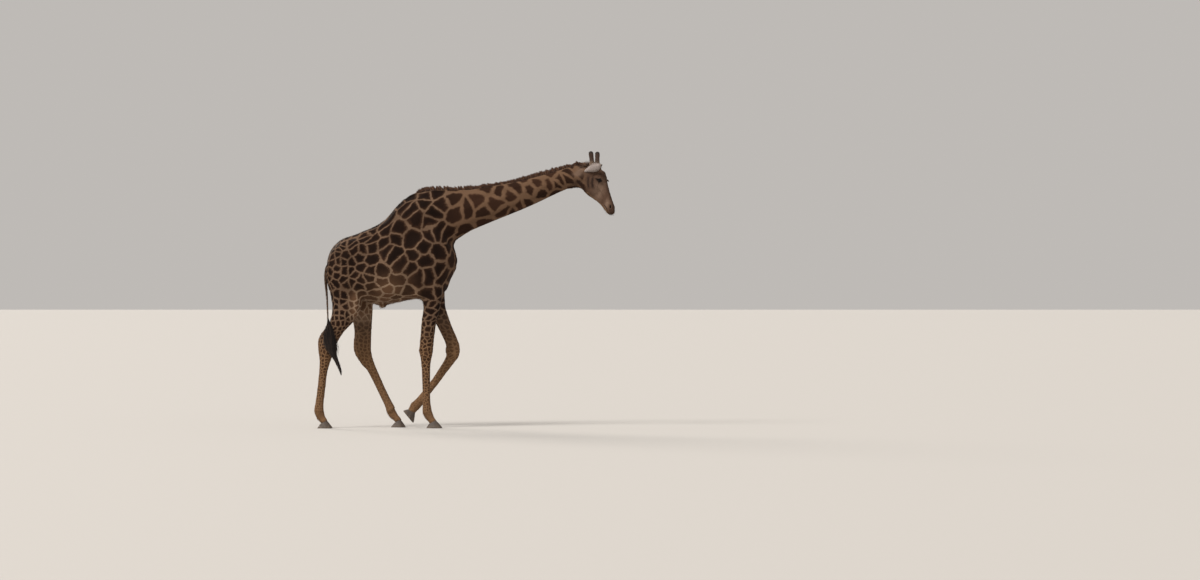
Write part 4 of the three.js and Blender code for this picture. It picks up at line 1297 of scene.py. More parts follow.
# %% Horns
def make_horn_look():
    look, tree, shader = new_look("horn_skin", 0.78)
    place = object_place(tree)
    height = node_height(tree, place)
    uneven = scaled(tree, noise(tree, place, 45, 3, 0.6), 0.03, height)
    worn = between(tree, uneven, 3.568, 3.588)
    lower = between(tree, uneven, 3.44, 3.5)
    hairy = noise(tree, place, 1.0, 2, 0.6, (500, 500, 60))
    shade = mixed(tree, hairy, colour(44, 30, 24), colour(82, 58, 43))
    base = mixed(tree, hairy, colour(92, 73, 59), colour(124, 102, 84))
    skin_colour = mixed(tree, lower, base, shade)
    skin_colour = mixed(tree, worn, skin_colour, colour(40, 31, 27))
    feed(tree, shader.inputs["Base Color"], skin_colour)
    roughen(tree, shader, hairy, 0.6, 0.003)
    return look


ROOT_FLARE, HORN_FULLER, HORN_SUNK = 0.007, 0.0035, 0.024  # metres
horn_look = make_horn_look()
horns = {}
for which in ("left", "right"):
    horn = copy_of("horn_" + which, "horn_bone_" + which)
    apply_modifier(horn, "REMESH", mode="VOXEL", voxel_size=0.005, use_smooth_shade=True)
    horn_points = relaxed(points_of(horn.data), edges_of(horn.data), 14)
    gaps = np.array([skin_faces.find_nearest(point)[3] for point in horn_points])
    flare = ROOT_FLARE * (1 - ramp(0.0, 0.04, gaps)) + HORN_FULLER
    horn_points += normals_of(horn.data) * flare[:, None]
    horn_points[:, 2] -= HORN_SUNK * (1 - ramp(0.003, 0.026, gaps))
    move_points(horn.data, horn_points)
    horn.data.materials.append(horn_look)
    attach(horn, "root")
    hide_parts("horn_" + which)
    horns[which] = horn
print("horns:", [len(h.data.polygons) for h in horns.values()])

# %% [markdown]
# ## Ears
#
# An ear is a thin leaf rolled into a tube at its root. The back carries short pale hair, and
# inside lies darker skin with long hairs from the edges.

# %% Ears
def make_ear_look():
    look, tree, shader = new_look("ear_skin", 0.85)
    place = object_place(tree)
    _, (inside, edge, along) = attribute(tree, "leaf")
    hairy = noise(tree, place, 1.0, 3, 0.6, (90, 420, 420))
    back = mixed(tree, hairy, colour(128, 115, 109), colour(166, 155, 151))
    back = mixed(tree, calc(tree, "MULTIPLY", edge, 0.4), back, colour(120, 98, 80))
    hollow = mixed(tree, hairy, colour(116, 97, 84), colour(168, 150, 135))
    shown = mixed(tree, inside, back, hollow)
    feed(tree, shader.inputs["Base Color"], shown)
    shader.inputs["Sheen Weight"].default_value = 0.15
    roughen(tree, shader, hairy, 0.5, 0.002)
    return look


EAR_ROOT = np.array([1572.0, 82.0, 3328.0])
EAR_TIPS = {"left": [1610, 272, 3392], "right": [1832, -170, 3404]}
EAR_LEANS = {"left": [-0.7, 0.5, 0.3], "right": [0.1, -0.9, -0.25]}
# How much each ear narrows all along and at its tip, and how far its edges curl in metres.
EAR_SHAPES = {"left": (0.2, 0.3, 0.03), "right": (0.08, 0.26, 0.02)}
ear_look = make_ear_look()
ears = {}


def ear_frame(which):
    """The root, the way to the tip, and where the back of the ear faces, in the frame."""
    side = 1 if which == "left" else -1
    root = from_head(EAR_ROOT * [1, side, 1])
    ahead = from_head(EAR_TIPS[which]) - root
    blade = unit(ahead)
    lean = rotated(np.array(EAR_LEANS[which], float), HEAD_TURN)
    lean = unit(lean - blade * (lean @ blade))
    return root, ahead, lean


def rooted(points, reach, depth):
    """Pushes the points that are near the skin under it, so that a piece has a firm root."""
    for number, point in enumerate(points):
        place, facing, _, gap = skin_faces.find_nearest(point, reach)
        if place is not None:
            points[number] -= np.array(facing) * depth * (1 - ramp(0.3 * reach, reach, gap))
    return points


for which in ("left", "right"):
    ear = copy_of("ear_" + which, "ear_leaf_" + which)
    apply_modifier(ear, "SUBSURF", levels=2, render_levels=2)
    ear_points = relaxed(points_of(ear.data), edges_of(ear.data), 6)
    root, ahead, lean = ear_frame(which)
    across = np.cross(unit(ahead), lean)
    facing = normals_of(ear.data) @ lean
    long = (ear_points - root) @ ahead / (ahead @ ahead)
    off = (ear_points - root) @ across
    slimmer, pointed, curled = EAR_SHAPES[which]
    rolled = 1 - ramp(0.05, 0.55, long)
    narrow = off * -(slimmer + 0.3 * rolled + pointed * ramp(0.6, 1.0, long))
    curl = curled * (0.35 + rolled) * (off / 0.06) ** 2
    bowl = 0.003 * ramp(0.1, -0.4, facing) * (1 - (off / 0.07) ** 2)
    ear_points += across * narrow[:, None] + lean * (bowl - curl)[:, None]
    ear_points = relaxed(ear_points, edges_of(ear.data), 8)
    ear_points -= ahead * 0.06 * ramp(0.25, 0.0, long)[:, None]
    move_points(ear.data, rooted(ear_points, 0.016, 0.02))
    inside = ramp(0.25, -0.25, facing)
    edge = ramp(0.035, 0.06, np.abs(off)) + ramp(0.85, 1.0, long)
    leaf = np.stack([inside, np.clip(edge, 0, 1), long], 1)
    keep(ear.data, "leaf", leaf)
    ear.data.materials.append(ear_look)
    work_on(ear)
    bpy.ops.object.shade_smooth()
    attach(ear, "root")
    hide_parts("ear_" + which)
    ears[which] = ear
print("ears:", [len(e.data.polygons) for e in ears.values()])

# %% [markdown]
# ## Hooves
#
# Each foot ends in two claws of dark horn. Horn grows down from the hairline, so it carries
# fine rings that follow that line, and its lower edge is chipped and dusty. The wall slopes
# out from the hairline to the sole, which stays flat on the floor.

# %% Hooves
HORN_DARK, HORN_PALE = colour(38, 31, 28), colour(70, 58, 50)
HORN_STREAK, DUST = colour(86, 73, 62), colour(104, 89, 74)


def make_hoof_look():
    look, tree, shader = new_look("hoof_horn", 0.62)
    _, (x, y, rise) = attribute(tree, "claw")
    place = object_place(tree)
    along = node(tree, "ShaderNodeCombineXYZ")
    feed(tree, along.inputs[0], x)
    feed(tree, along.inputs[1], y)
    feed(tree, along.inputs[2], rise)
    rings = noise(tree, along.outputs[0], 1.0, 3, 0.6, (3, 3, 26))
    streaks = noise(tree, along.outputs[0], 1.0, 3, 0.6, (26, 26, 1.5))
    horn = mixed(tree, rings, HORN_DARK, HORN_PALE)
    horn = mixed(tree, between(tree, streaks, 0.45, 0.8), horn, HORN_STREAK)
    dusty = noise(tree, place, 30, 4, 0.65)
    low = between(tree, rise, 0.75, 0.1)
    dust = calc(tree, "MULTIPLY", between(tree, dusty, 0.3, 0.65), calc(tree, "MAXIMUM", low, 0.35))
    horn = mixed(tree, calc(tree, "MULTIPLY", dust, 0.7), horn, DUST)
    feed(tree, shader.inputs["Base Color"], horn)
    height = calc(tree, "ADD", rings, calc(tree, "MULTIPLY", streaks, 0.4))
    roughen(tree, shader, height, 0.7, 0.003)
    return look


SOLE_EDGE = 0.0025
CLEFT = 4.5  # half the gap between two claws, in millimetres
CLAW_TOP = [-27.0, 66.0, 72.0]  # the solids' upper rings: middle, half length and half width
CORONET_RIM = 1.02
hoof_look = make_hoof_look()
for leg in LEGS:
    middle, half = ankles[leg]
    for which in ("left", "right"):
        node_name = f"{leg}_claw_{which}"
        claw = copy_of(node_name, f"{leg}_hoof_{which}")
        apply_modifier(claw, "REMESH", mode="VOXEL", voxel_size=0.005, use_smooth_shade=True)
        claw_points = relaxed(points_of(claw.data), edges_of(claw.data), 5)
        on_floor = claw_points[:, 2] < SOLE_EDGE
        seen = foot_view(claw_points, leg)
        over = over_coronet(seen)
        rise = np.clip(seen[:, 2] / np.maximum(seen[:, 2] - over, 1), 0, 1)
        drawn_in = rise**1.3
        slim = np.array([half[0] / CLAW_TOP[1], half[1] / CLAW_TOP[2]]) * CORONET_RIM
        cleft = np.sign(seen[:, 1]) * CLEFT
        ahead = seen[:, 0] - CLAW_TOP[0]
        seen[:, 0] += drawn_in * ((middle[0] - CLAW_TOP[0]) + ahead * (slim[0] - 1))
        seen[:, 1] += drawn_in * (slim[1] - 1) * (seen[:, 1] - cleft)
        claw_points = from_foot(seen, leg)
        if leg != "foreleg_left":
            claw_points[on_floor, 2] = 0.0
        keep(claw.data, "claw", np.stack([seen[:, 0] / 100, seen[:, 1] / 100, rise], 1))
        move_points(claw.data, claw_points)
        claw.data.materials.append(hoof_look)
        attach(claw, "root")
        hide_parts(node_name)
print("eight claws dressed")

# %% [markdown]
# ## Hair
#
# Hair is made as locks: thin three-sided spikes that lie along the body and overlap like
# tiles. All locks of a kind are built at once as one mesh. Each carries the colours of the
# skin at its root, and a patch of its own on the bake map, where its root stands.

# %% The lock builder
def unwrap(piece):
    """Lays the piece's own shape out flat, as the bake map."""
    piece.data.uv_layers.new(name="OFBake")
    angle = math.radians(66)
    edited(piece, None, bpy.ops.uv.smart_project, angle_limit=angle, island_margin=0.001)


PATCH_ON_MAP = 0.003
LOCK_THICK = 0.2  # its height as a share of its width
LOCK_ROUND = 0.45  # how round a lock is shaded: 0 shades it just like the skin under it
dice = np.random.default_rng(7)


def lock_mesh(name, paths, half_width, outward, spots, look, carried):
    """One mesh of many locks. paths holds each lock's points from root to tip, half_width
    its size at each point but the tip, spots its root on the map, and carried the vectors
    that each lock copies from the skin."""
    count, rows, _ = paths.shape
    rings = rows - 1
    ahead = unit(np.diff(paths, axis=1))
    over = unit(np.cross(ahead, outward[:, None, :]))
    up = np.cross(over, ahead)
    corners = paths[:, :-1, None, :] + half_width[:, :, None, None] * np.stack(
        [over, -over, up * LOCK_THICK], 2
    )
    per_lock = rings * 3 + 1
    verts = np.concatenate([corners.reshape(count, rings * 3, 3), paths[:, -1:, :]], 1)
    faces = [[0, 2, 1]]
    for ring in range(rings - 1):
        for k in range(3):
            a, b = ring * 3 + k, ring * 3 + (k + 1) % 3
            faces += [[a, b, b + 3], [a, b + 3, a + 3]]
    last = (rings - 1) * 3
    faces += [[last + k, last + (k + 1) % 3, per_lock - 1] for k in range(3)]
    faces = np.array(faces)
    loops = (faces[None] + np.arange(count)[:, None, None] * per_lock).reshape(-1)

    mesh = bpy.data.meshes.new(name)
    mesh.vertices.add(count * per_lock)
    mesh.vertices.foreach_set("co", verts.astype(np.float32).ravel())
    mesh.loops.add(len(loops))
    mesh.loops.foreach_set("vertex_index", loops.astype(np.int32))
    mesh.polygons.add(len(loops) // 3)
    mesh.polygons.foreach_set("loop_start", np.arange(0, len(loops), 3, dtype=np.int32))
    mesh.update(calc_edges=True)

    rise = np.append(np.repeat(np.arange(rings) / rings, 3), 1.0)
    turn = np.append(np.tile([0.0, 1.0, 0.5], rings), 0.5)
    patch = (np.stack([turn, rise], 1) - 0.5) * PATCH_ON_MAP
    on_map = spots[:, None, :] + patch[None]
    layer = mesh.uv_layers.new(name="OFBake")
    layer.data.foreach_set("uv", on_map.reshape(-1, 2)[loops].astype(np.float32).ravel())
    for key, values in carried.items():
        keep(mesh, key, np.repeat(values, per_lock, axis=0))
    soft_out = np.repeat(outward[:, None, :], rings, 1)[:, :, None, :]
    round_it = np.stack([over, -over, up * 0], 2) * LOCK_ROUND
    soft = unit(soft_out + round_it).reshape(count, rings * 3, 3)
    soft = np.concatenate([soft, outward[:, None, :]], 1).reshape(-1, 3)
    mesh.polygons.foreach_set("use_smooth", np.ones(len(mesh.polygons), bool))
    mesh.normals_split_custom_set_from_vertices(soft.astype(np.float32))
    lock = np.stack([np.tile(rise, count), np.repeat(dice.random(count), per_lock)], 1)
    keep(mesh, "lock", np.concatenate([lock, np.zeros((len(lock), 1))], 1))
    mesh.materials.append(look)
    piece = bpy.data.objects.new(name, mesh)
    bpy.context.scene.collection.objects.link(piece)
    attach(piece, "root")
    print(name, len(mesh.polygons), "triangles")
    return piece


class Hide:
    """A mesh's triangles as arrays, so that roots can be scattered over them."""

    def __init__(self, piece, carried):
        unwrap(piece)
        mesh = piece.data
        self.carried = carried
        mesh.calc_loop_triangles()
        count = len(mesh.loop_triangles)
        self.corners = np.empty(count * 3, np.int32)
        mesh.loop_triangles.foreach_get("vertices", self.corners)
        self.corners = self.corners.reshape(-1, 3)
        loops = np.empty(count * 3, np.int32)
        mesh.loop_triangles.foreach_get("loops", loops)
        uv = np.empty(len(mesh.loops) * 2, np.float32)
        mesh.uv_layers["OFBake"].data.foreach_get("uv", uv)
        self.uv = uv.reshape(-1, 2)[loops].reshape(-1, 3, 2)
        self.points = points_of(mesh)
        self.normals = normals_of(mesh)
        a, b, c = (self.points[self.corners[:, k]] for k in range(3))
        self.area = np.linalg.norm(np.cross(b - a, c - a), axis=1) / 2
        self.middle = (a + b + c) / 3

    def scatter(self, count, density):
        """Random roots, thicker where density is higher."""
        weight = self.area * density
        chosen = dice.choice(len(weight), count, p=weight / weight.sum())
        share = dice.random((count, 2))
        flip = share.sum(1) > 1
        share[flip] = 1 - share[flip]
        mix = np.stack([1 - share.sum(1), share[:, 0], share[:, 1]], 1)
        corners = self.corners[chosen]

        def blend(values):
            return (values[corners] * mix[:, :, None]).sum(1)

        spots = (self.uv[chosen] * mix[:, :, None]).sum(1)
        carried = {key: blend(values) for key, values in self.carried.items()}
        return blend(self.points), unit(blend(self.normals)), spots, carried


hide = Hide(skin, skin_carried)
print("the skin has", round(float(hide.area.sum()), 2), "square metres")

# %% [markdown]
# Hair lies back along the neck and trunk, down the legs and the tail, and towards the muzzle
# on the face. Where two of these meet, one turns smoothly into the other.

# %% The lie of the coat
def lie_of_coat(points, normals):
    body, head = to_body(points), to_head(points)
    x, y, z = body.T
    back = np.array([-0.95, 0.0, -0.3])
    down = np.array([-0.12, 0.0, -1.0])
    nose = rotated(np.array([0.36, 0.0, -0.93]), HEAD_TURN)
    leg = (1 - ramp(1350, 1800, z))[:, None]
    face = ramp(1560, 1640, head[:, 0])[:, None]
    rump = (ramp(-1650, -1850, x) * 0.7)[:, None]
    way = back * (1 - np.maximum(leg, rump)) + down * np.maximum(leg, rump)
    way = way * (1 - face) + nose * face
    way = way - normals * (way * normals).sum(1, keepdims=True)
    return unit(way)


def lay(points, normals, way, length, lift, sway=0.25, rows=2, droop=0.0):
    """Paths of locks that lie that way and rise from the skin by lift, a share of length."""
    way = unit(way - normals * (way * normals).sum(1, keepdims=True))
    side = np.cross(normals, way)
    way = unit(way + side * dice.normal(0, sway, (len(points), 1)))
    steps = np.linspace(0, 1, rows)[None, :, None]
    lift = lift * dice.uniform(0.6, 1.3, len(points))
    reach = (length * dice.uniform(0.7, 1.15, len(points)))[:, None, None]
    rise = (lift[:, None, None]) * steps
    paths = points[:, None, :] + reach * (way[:, None, :] * steps + normals[:, None, :] * rise)
    paths[:, :, 2] -= (reach * droop * steps**2)[:, :, 0]
    return paths


# %% [markdown]
# ## The short coat
#
# The short coat covers the whole skin in overlapping tufts, as long as a thumb is wide on
# the body and less than half of that on the face and feet. It is shared out over a few
# pieces that each cover the whole body, so that each has an even map. The face has a piece
# of its own, because its hair is so fine that it needs as many tufts as a third of the body.

# %% Short coat
COAT_PIECES = 3
TUFTS_EACH = 49000


def hair_length(points):
    """Metres, by place."""
    body, head = to_body(points), to_head(points)
    length = np.interp(body[:, 2], [0, 200, 900, 1500, 1900], [10, 12, 16, 21, 25])
    face = ramp(1540, 1640, head[:, 0])
    muzzle = ramp(1760, 1860, head[:, 0])
    return (length * (1 - face) + (10 - 5 * muzzle) * face) / 1000


def bare(points):
    """1 where no hair grows: the eyes' openings, the lips' edges and the nostrils."""
    head = to_head(points)
    lips, _ = gap_to_line(head[:, 0], head[:, 2], MOUTH_LINE)
    nose = np.hypot((head[:, 0] - NOSTRIL[0]) / 8, (head[:, 2] - NOSTRIL[2]) / 24) < 1
    none = ((lips < 4) | (nose & (np.abs(head[:, 1]) > 14))) & (head[:, 0] > 1700)
    for side in (1, -1):
        seen = eye_view(points, side)
        _, _, gap = lid_places(seen)
        none |= (np.linalg.norm(seen, axis=1) < 60) & (gap < 2.5)
    return none


on_face = ramp(1500, 1560, to_head(hide.middle)[:, 0])
haired = 1.0 - bare(hide.middle)
density = haired * (1 - on_face) / (hair_length(hide.middle) * 1000) ** 1.3
for number in range(COAT_PIECES):
    roots, out, spots, carried = hide.scatter(TUFTS_EACH, density)
    length = hair_length(roots)
    paths = lay(roots - out * 0.001, out, lie_of_coat(roots, out), length, 0.11)
    half = (length * 0.075)[:, None]
    piece = lock_mesh(f"short_coat_{number + 1}", paths, half, out, spots, coat_hair, carried)

FACE_TUFT_HALF = 0.0007
density = haired * on_face / (hair_length(hide.middle) * 1000)
roots, out, spots, carried = hide.scatter(TUFTS_EACH, density)
paths = lay(roots - out * 0.0005, out, lie_of_coat(roots, out), hair_length(roots), 0.08, 0.2)
half = np.full((TUFTS_EACH, 1), FACE_TUFT_HALF)
face_coat = lock_mesh("face_coat", paths, half, out, spots, coat_hair, carried)

# %% [markdown]
# ## The mane
#
# The mane is a stiff upright brush along the ridge of the neck, as tall as a finger is long,
# reddish brown, from the withers to the poll. Its hair clings together in clumps, each with
# its own lean and height, so the top edge is a row of uneven spikes. Each lock starts on
# the skin and ends near the top of the mane's solid or below it, so it keeps the outline.

# %% Mane
def make_mane_look(name, root_colour, tip_colour, pale_colour):
    look, tree, shader = new_look(name, 0.7)
    _, (rise, own, _) = attribute(tree, "lock")
    shade = mixed(tree, rise, root_colour, tip_colour)
    shade = mixed(tree, between(tree, own, 0.72, 1.0), shade, pale_colour)
    value = scaled(tree, own, 0.5, 0.72)
    feed(tree, shader.inputs["Base Color"], mixed(tree, 1.0, shade, value, "MULTIPLY"))
    shader.inputs["Sheen Weight"].default_value = 0.04
    shader.inputs["Specular IOR Level"].default_value = 0.14
    return look


MANE_LINE = np.array(
    [
        [-650, -15], [-300, -8], [0, 0], [600, 0], [800, -2],
        [1000, -8], [1200, -16], [1400, -27], [1565, -40],
    ],
    float,
)
MANE_LOCKS = 10500
MANE_HALF_WIDE = 13.0
MANE_WIDTH = [-650, -400, 1600], [0.5, 0.9, 1.1]  # its share of that width along the neck
OVERHEAD = 3800
LEAST_MANE = 0.008  # metres
CLUMP = 24.0  # how far apart the clumps stand
SHAGGY = [-600, 250, 500, 1150, 1350, 1560], [0.5, 0.4, 0.2, 0.25, 0.38, 0.45]
mane_look = make_mane_look("mane_hair", colour(36, 24, 19), colour(78, 51, 37), colour(106, 76, 57))


def map_spots(points):
    """Where the skin nearest to each point is on the map, and what it carries."""
    rows = np.array([skin_tree.find_nearest(point)[2] for point in points])
    corners = hide.corners[rows][:, 0]
    carried = {key: values[corners] for key, values in skin_carried.items()}
    return hide.uv[rows].mean(1), carried


skin_tree = BVHTree.FromPolygons([Vector(p) for p in hide.points], hide.corners.tolist())
mane_tree = tree_of(solids["mane"])
down = Vector((0, 0, -1))
along_x = dice.uniform(MANE_LINE[0, 0], MANE_LINE[-1, 0], MANE_LOCKS * 2)
middle_y = np.interp(along_x, *MANE_LINE.T)
off_line = np.clip(dice.normal(0, 0.55, len(along_x)), -1, 1)
roots, rises, offs, places = [], [], [], []
for x, y_middle, off in zip(along_x, middle_y, off_line):
    y = y_middle + off * np.interp(x, *MANE_WIDTH) * MANE_HALF_WIDE
    root = skin_tree.ray_cast(Vector(to_frame([x, y, OVERHEAD])), down)[0]
    top = mane_tree.ray_cast(Vector(to_frame([x, y_middle, OVERHEAD])), down)[0]
    if root is not None and top is not None and top.z - root.z > LEAST_MANE:
        roots.append(root)
        rises.append(top.z - root.z)
        offs.append(off)
        places.append(x)
roots, rises = np.array(roots)[:MANE_LOCKS], np.array(rises)[:MANE_LOCKS]
offs, places = np.array(offs)[:MANE_LOCKS], np.array(places)[:MANE_LOCKS]
count = len(roots)
clump = ((places - MANE_LINE[0, 0] + 6 * dice.normal(0, 1, count)) / CLUMP).astype(int).clip(0)
clumps = clump.max() + 1
clump_tall = dice.uniform(0.0, 1.0, clumps)[clump]
clump_lean = dice.normal(0, 0.16, clumps)[clump]
clump_side = dice.normal(0, 0.14, clumps)[clump]
shaggy = np.interp(places, *SHAGGY)
tall = rises * (1.04 - shaggy * clump_tall) * dice.uniform(0.8, 1.0, count) * (1 - 0.2 * offs**2)
tall *= 0.3 + 0.7 * ramp(-660, -520, places)
to_clump = (MANE_LINE[0, 0] + (clump + 0.5) * CLUMP - places) / 1000
lean = np.interp(places, [-600, 500, 1500], [-0.55, -0.3, -0.25]) + clump_lean
way = np.stack([lean, offs * 0.1 + clump_side, np.ones(count)], 1)
way += dice.normal(0, 0.07, (count, 3)) * [1, 1, 0]
steps = np.linspace(0, 1, 4)[None, :, None]
paths = roots[:, None, :] + way[:, None, :] * tall[:, None, None] * steps
paths[:, :, 0] += (0.75 * to_clump[:, None] - 0.1 * tall[:, None]) * steps[:, :, 0] ** 2
paths[:, 0, 2] -= 0.004
half = np.array([0.0024, 0.0026, 0.0017])[None, :] * dice.uniform(0.6, 1.25, (count, 1))
side_of = np.where(offs + 0.3 * dice.normal(0, 1, count) > 0, 1.0, -1.0)
facing = unit(side_of[:, None] * [0.0, 1.0, 0.0] + dice.normal(0, 0.35, (count, 3)) + [0, 0, 0.3])
spots, carried = map_spots(roots)
mane = lock_mesh("mane_hair", paths, half, facing, spots, mane_look, carried)
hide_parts("mane")

# %% [markdown]
# ## The tail's tuft
#
# Black hair as thick as wire hangs from the end of the tail. Each strand runs down inside
# the tuft's solid and drifts a little, so the whole keeps the shape that the wind gave it.
# A few strands stray outside.

# %% Tail tuft
TUFT_PATH = np.array(
    [
        [-1790, -225, 1455, 12], [-1776, -272, 1375, 32], [-1762, -298, 1300, 56],
        [-1753, -316, 1210, 70], [-1746, -326, 1120, 74], [-1738, -328, 1040, 66],
        [-1724, -325, 975, 46], [-1690, -320, 915, 25], [-1644, -314, 830, 20],
        [-1614, -311, 745, 14], [-1608, -310, 685, 5],
    ],
    float,
)  # body millimetres, and the tuft's half width there
STRANDS = 2800
STRAND_ROWS = 8
tuft_look = make_mane_look("tail_hair", colour(16, 13, 12), colour(30, 23, 20), colour(50, 38, 32))
start = dice.uniform(0, 0.45, STRANDS) ** 1.2
end = np.clip(start + dice.uniform(0.18, 0.75, STRANDS), 0.26, 1.0)
at = start[:, None] + (end - start)[:, None] * np.linspace(0, 1, STRAND_ROWS)[None]
measure = np.linspace(0, 1, len(TUFT_PATH))
line = np.stack([np.interp(at, measure, TUFT_PATH[:, k]) for k in range(4)], -1)
angle = dice.uniform(0, 2 * math.pi, STRANDS)
ring = np.sqrt(dice.uniform(0, 1, STRANDS))
drift = dice.normal(0, 0.3, (STRANDS, 2))
wave = np.linspace(0, 1, STRAND_ROWS)[None]
stray = 1 + 0.7 * (dice.random(STRANDS) > 0.86)[:, None] * wave**2
off_x = ring[:, None] * np.cos(angle)[:, None] + drift[:, :1] * wave**2
off_y = ring[:, None] * np.sin(angle)[:, None] + drift[:, 1:] * wave**2
too_far = np.maximum(np.hypot(off_x, off_y), 1.0)
reach = line[:, :, 3] * np.minimum(1.0, 0.25 + 3 * at) * stray
paths = line[:, :, :3].copy()
lobes = 1 + 0.2 * np.sin(11 * at + 2 * np.cos(angle)[:, None])
paths[:, :, 0] += reach * lobes * off_x / too_far
paths[:, :, 1] += reach / stray * 0.8 * off_y / too_far
paths = to_frame(paths)
half = np.interp(np.linspace(0, 1, STRAND_ROWS)[:-1], [0, 0.5, 1], [0.0019, 0.0021, 0.0011])
half = half[None] * dice.uniform(0.6, 1.3, (STRANDS, 1))
facing = unit(np.stack([np.cos(angle), np.sin(angle) - 0.4, np.zeros(STRANDS)], 1))
spots, carried = map_spots(paths[:, 0])
tail_hair = lock_mesh("tail_hair", paths, half, facing, spots, tuft_look, carried)
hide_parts("tail_tuft")

# %% [markdown]
# ## Longer hair
#
# Hair is longer where legs bend, along the throat, the chest, the back and the belly, on the
# poll and the tail's root, behind the fetlocks and as a fringe over each hoof. Each of these
# places is a share of the skin, with its own count, length in millimetres and lift.

# %% Longer hair
hide_facing = hide.normals[hide.corners].mean(1)


def long_places():
    """Where longer hair grows: a share of each triangle, count, length, lift and droop."""
    body, head = to_body(hide.middle), to_head(hide.middle)
    (x, y, z), (hx, hy, hz) = body.T, head.T
    under = ramp(-0.2, -0.7, hide_facing[:, 2])
    belly = under * ramp(1750, 1600, z) * ramp(1300, 1400, z) * ramp(-1400, -1300, x)
    back = ramp(30, 8, np.abs(y + 15)) * ramp(0.3, 0.8, hide_facing[:, 2])
    chest = mound(x, z, (-170, 2180), (120, 260)) * ramp(110, 40, np.abs(y))
    dock = ramp(-1790, -1810, x) * (z > 1440) * (z < 2060) * (np.abs(y) < 260)
    places = {
        "throat": (mound(x, z, (1405, 3150), (60, 45)) * under * (x < 1480), 500, 22, 0.35, 0.3),
        "poll": (mound(hx, hz, (1600, 3420), (60, 70)) * (np.abs(hy) < 62), 620, 46, 1.1, 0.0),
        "belly": (belly, 2400, 34, 0.3, 0.3),
        "chest": (chest, 900, 32, 0.25, 0.1),
        "back": (back * (z > 2350) * (x < -560), 1100, 34, 0.3, 0.0),
        "elbow": (mound(x, z, (-560, 1830), (60, 90)), 420, 36, 0.35, 0.2),
        "dock": (dock, 900, 26, 0.2, 0.3),
    }
    for leg in LEGS:
        seen = foot_view(hide.middle, leg)
        over = over_coronet(seen)
        near = (np.abs(seen[:, 0]) < 160) & (np.abs(seen[:, 1]) < 95) & (seen[:, 2] < 320)
        places[leg + "_coronet"] = (near * ramp(22, 6, over) * (over > -4), 620, 24, 0.22, 0.0)
        heel = mound(seen[:, 0], seen[:, 2], (-112, 165), (44, 60))
        places[leg + "_fetlock"] = (near * heel, 260, 30, 0.35, 0.2)
        (kx, kz), side = JOINTS[leg][0], 1 if leg.endswith("left") else -1
        joint = (y * side > 20) * mound(x, z, (kx - 50, kz), (30, 120))
        places[leg + "_joint"] = (joint, 260, 24, 0.25, 0.1)
    return places


gathered = []
for name, (share, count, length, lift, droop) in long_places().items():
    if share.sum() <= 0:
        print("no place for", name)
        continue
    roots, out, spots, carried = hide.scatter(count, share * haired)
    length = length / 1000 * dice.uniform(0.7, 1.0, count)
    paths = lay(roots - out * 0.001, out, lie_of_coat(roots, out), length, lift, 0.35, 3, droop)
    half = np.array([0.0016, 0.0013])[None] * (length / 0.03)[:, None]
    gathered.append((paths, half, out, spots, carried))
paths, half, out, spots = (np.concatenate([g[k] for g in gathered]) for k in range(4))
carried = {key: np.concatenate([g[4][key] for g in gathered]) for key in skin_carried}
long_hair = lock_mesh("long_hair", paths, half, out, spots, coat_hair, carried)

# %% [markdown]
# The upper lids carry a thick row of black lashes that hang over the eye, and a few short
# ones stand on the lower lids. Stiff whiskers grow from the lips and chin.

# %% Lashes and whiskers
def lashes(side, upper, count, length):
    """Paths of lashes along one lid, from its edge outwards."""
    long_axis, up = eye_axes()
    ball = EYE_RADIUS + LID_OVER_EYE
    share = np.linspace(-0.92, 0.92, count) + dice.normal(0, 0.01, count)
    height = (OPENING["above"] if upper else -OPENING["below"]) * (1 - share**2) ** 0.8
    height += (1.0 if upper else -1.0) * (0.6 + dice.uniform(0, 1.5, count))
    a, b = share * OPENING["half_length"] / ball, height / ball
    way = np.cos(a)[:, None] * np.cos(b)[:, None] * GAZE
    way += np.sin(a)[:, None] * long_axis + (np.cos(a) * np.sin(b))[:, None] * up
    way = unit(way)
    root = way * (ball + 0.4)
    long = length * dice.uniform(0.75, 1.1, count)[:, None]
    tilt = 0.25 if upper else -0.5
    first = unit(way + up * tilt + long_axis * share[:, None] * 0.5)
    hang = np.array([0, 0, -1.0])
    path = [root, root + first * long * 0.35, root + first * long * 0.66 + hang * long * 0.1]
    path.append(root + first * long * 0.9 + hang * long * (0.45 if upper else 0.1))
    return eye_back(np.stack(path, 1), side)


UPPER_ROWS = 2
UPPER_LASHES, LOWER_LASHES = (70, 22.0), (34, 12.0)  # how many, and millimetres long
WHISKERS, WHISKER_LONG = 150, 0.022
lash_paths = []
for side in (1, -1):
    for _ in range(UPPER_ROWS):
        lash_paths.append(lashes(side, True, *UPPER_LASHES))
    lash_paths.append(lashes(side, False, *LOWER_LASHES))
middle = to_head(hide.middle)
whisker_at = (np.abs(middle[:, 0] - 1840) < 70) & (middle[:, 2] < 2860)
roots, out, _, _ = hide.scatter(WHISKERS, whisker_at * haired)
long = np.full(WHISKERS, WHISKER_LONG)
whiskers = lay(roots, out, lie_of_coat(roots, out), long, 0.9, 0.5, 4, 0.2)
paths = np.concatenate(lash_paths + [whiskers])
half = np.tile([0.0007, 0.0006, 0.0004], (len(paths), 1))
half[-WHISKERS:] *= 0.55
spots, carried = map_spots(paths[:, 0])
out = unit(np.cross(np.diff(paths, axis=1)[:, 0], [0.3, 0.2, 1.0]))
lash_hair = lock_mesh("lashes", paths, half, out, spots, tuft_look, carried)

# %% [markdown]
# The ears are furred on both sides, with a fringe round the edge and long pale hairs inside.
# Hair grows up the horns and ends in a dark ring round each worn tip.

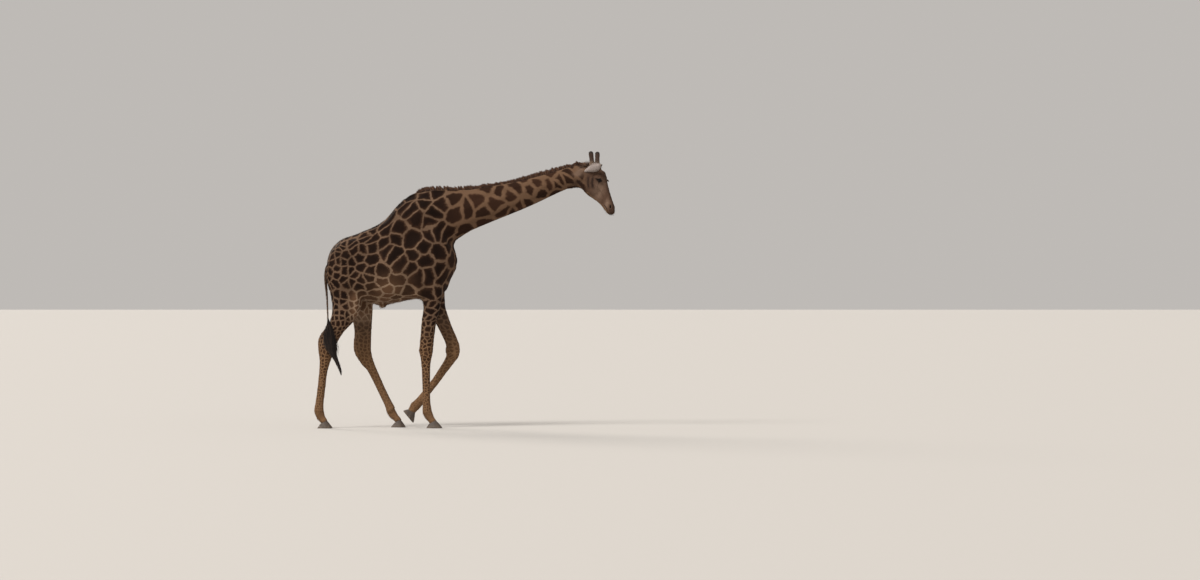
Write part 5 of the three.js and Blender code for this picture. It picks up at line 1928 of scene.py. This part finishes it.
# %% Hair on ears and horns
EAR_TUFTS = 9000
HORN_TUFTS = 5000
for which, ear in ears.items():
    leaf = vectors_of(ear.data.attributes["leaf"].data, "vector")
    leaf_hide = Hide(ear, {"leaf": leaf})
    at = leaf[leaf_hide.corners].mean(1)
    roots, out, spots, carried = leaf_hide.scatter(EAR_TUFTS, 1 + 1.5 * at[:, 1])
    inside, edge, _ = carried["leaf"].T
    root, ahead, lean = ear_frame(which)
    across = np.cross(unit(ahead), lean)
    off = ((roots - root) @ across)[:, None]
    spread = (0.35 * edge - 0.5 * inside * (1 - edge))[:, None]
    fan = unit(ahead) + across * np.clip(off / 0.06, -1, 1) * spread
    length = 0.012 + 0.010 * edge + 0.008 * inside * (1 - edge)
    length = length * dice.uniform(0.7, 1.1, EAR_TUFTS)
    paths = lay(roots - out * 0.0006, out, fan, length, 0.09, 0.22, 3)
    half = np.tile([0.0008, 0.0006], (EAR_TUFTS, 1))
    piece = lock_mesh("ear_hair_" + which, paths, half, out, spots, ear_look, carried)
for which, horn in horns.items():
    horn_hide = Hide(horn, {})
    low, high = horn_hide.points[:, 2].min(), horn_hide.points[:, 2].max()
    height = (horn_hide.middle[:, 2] - low) / (high - low)
    roots, out, spots, carried = horn_hide.scatter(HORN_TUFTS, 1.1 - ramp(0.86, 0.93, height))
    height = (roots[:, 2] - low) / (high - low)
    length = (0.015 + 0.008 * ramp(0.6, 0.85, height)) * dice.uniform(0.7, 1.1, HORN_TUFTS)
    length *= 1 - 0.75 * ramp(0.88, 0.95, height)
    up_horn = np.tile([0.0, 0.0, 1.0], (HORN_TUFTS, 1)) + dice.normal(0, 0.15, (HORN_TUFTS, 3))
    paths = lay(roots - out * 0.0006, out, up_horn, length, 0.14, 0.25)
    half = np.full((HORN_TUFTS, 1), 0.0011)
    piece = lock_mesh("horn_hair_" + which, paths, half, out, spots, horn_look, carried)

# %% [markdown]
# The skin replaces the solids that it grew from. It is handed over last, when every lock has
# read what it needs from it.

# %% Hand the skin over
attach(skin, "root")
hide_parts("trunk", "neck", "head", "tail")
for leg in LEGS:
    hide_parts(leg + "_upper", leg + "_lower")
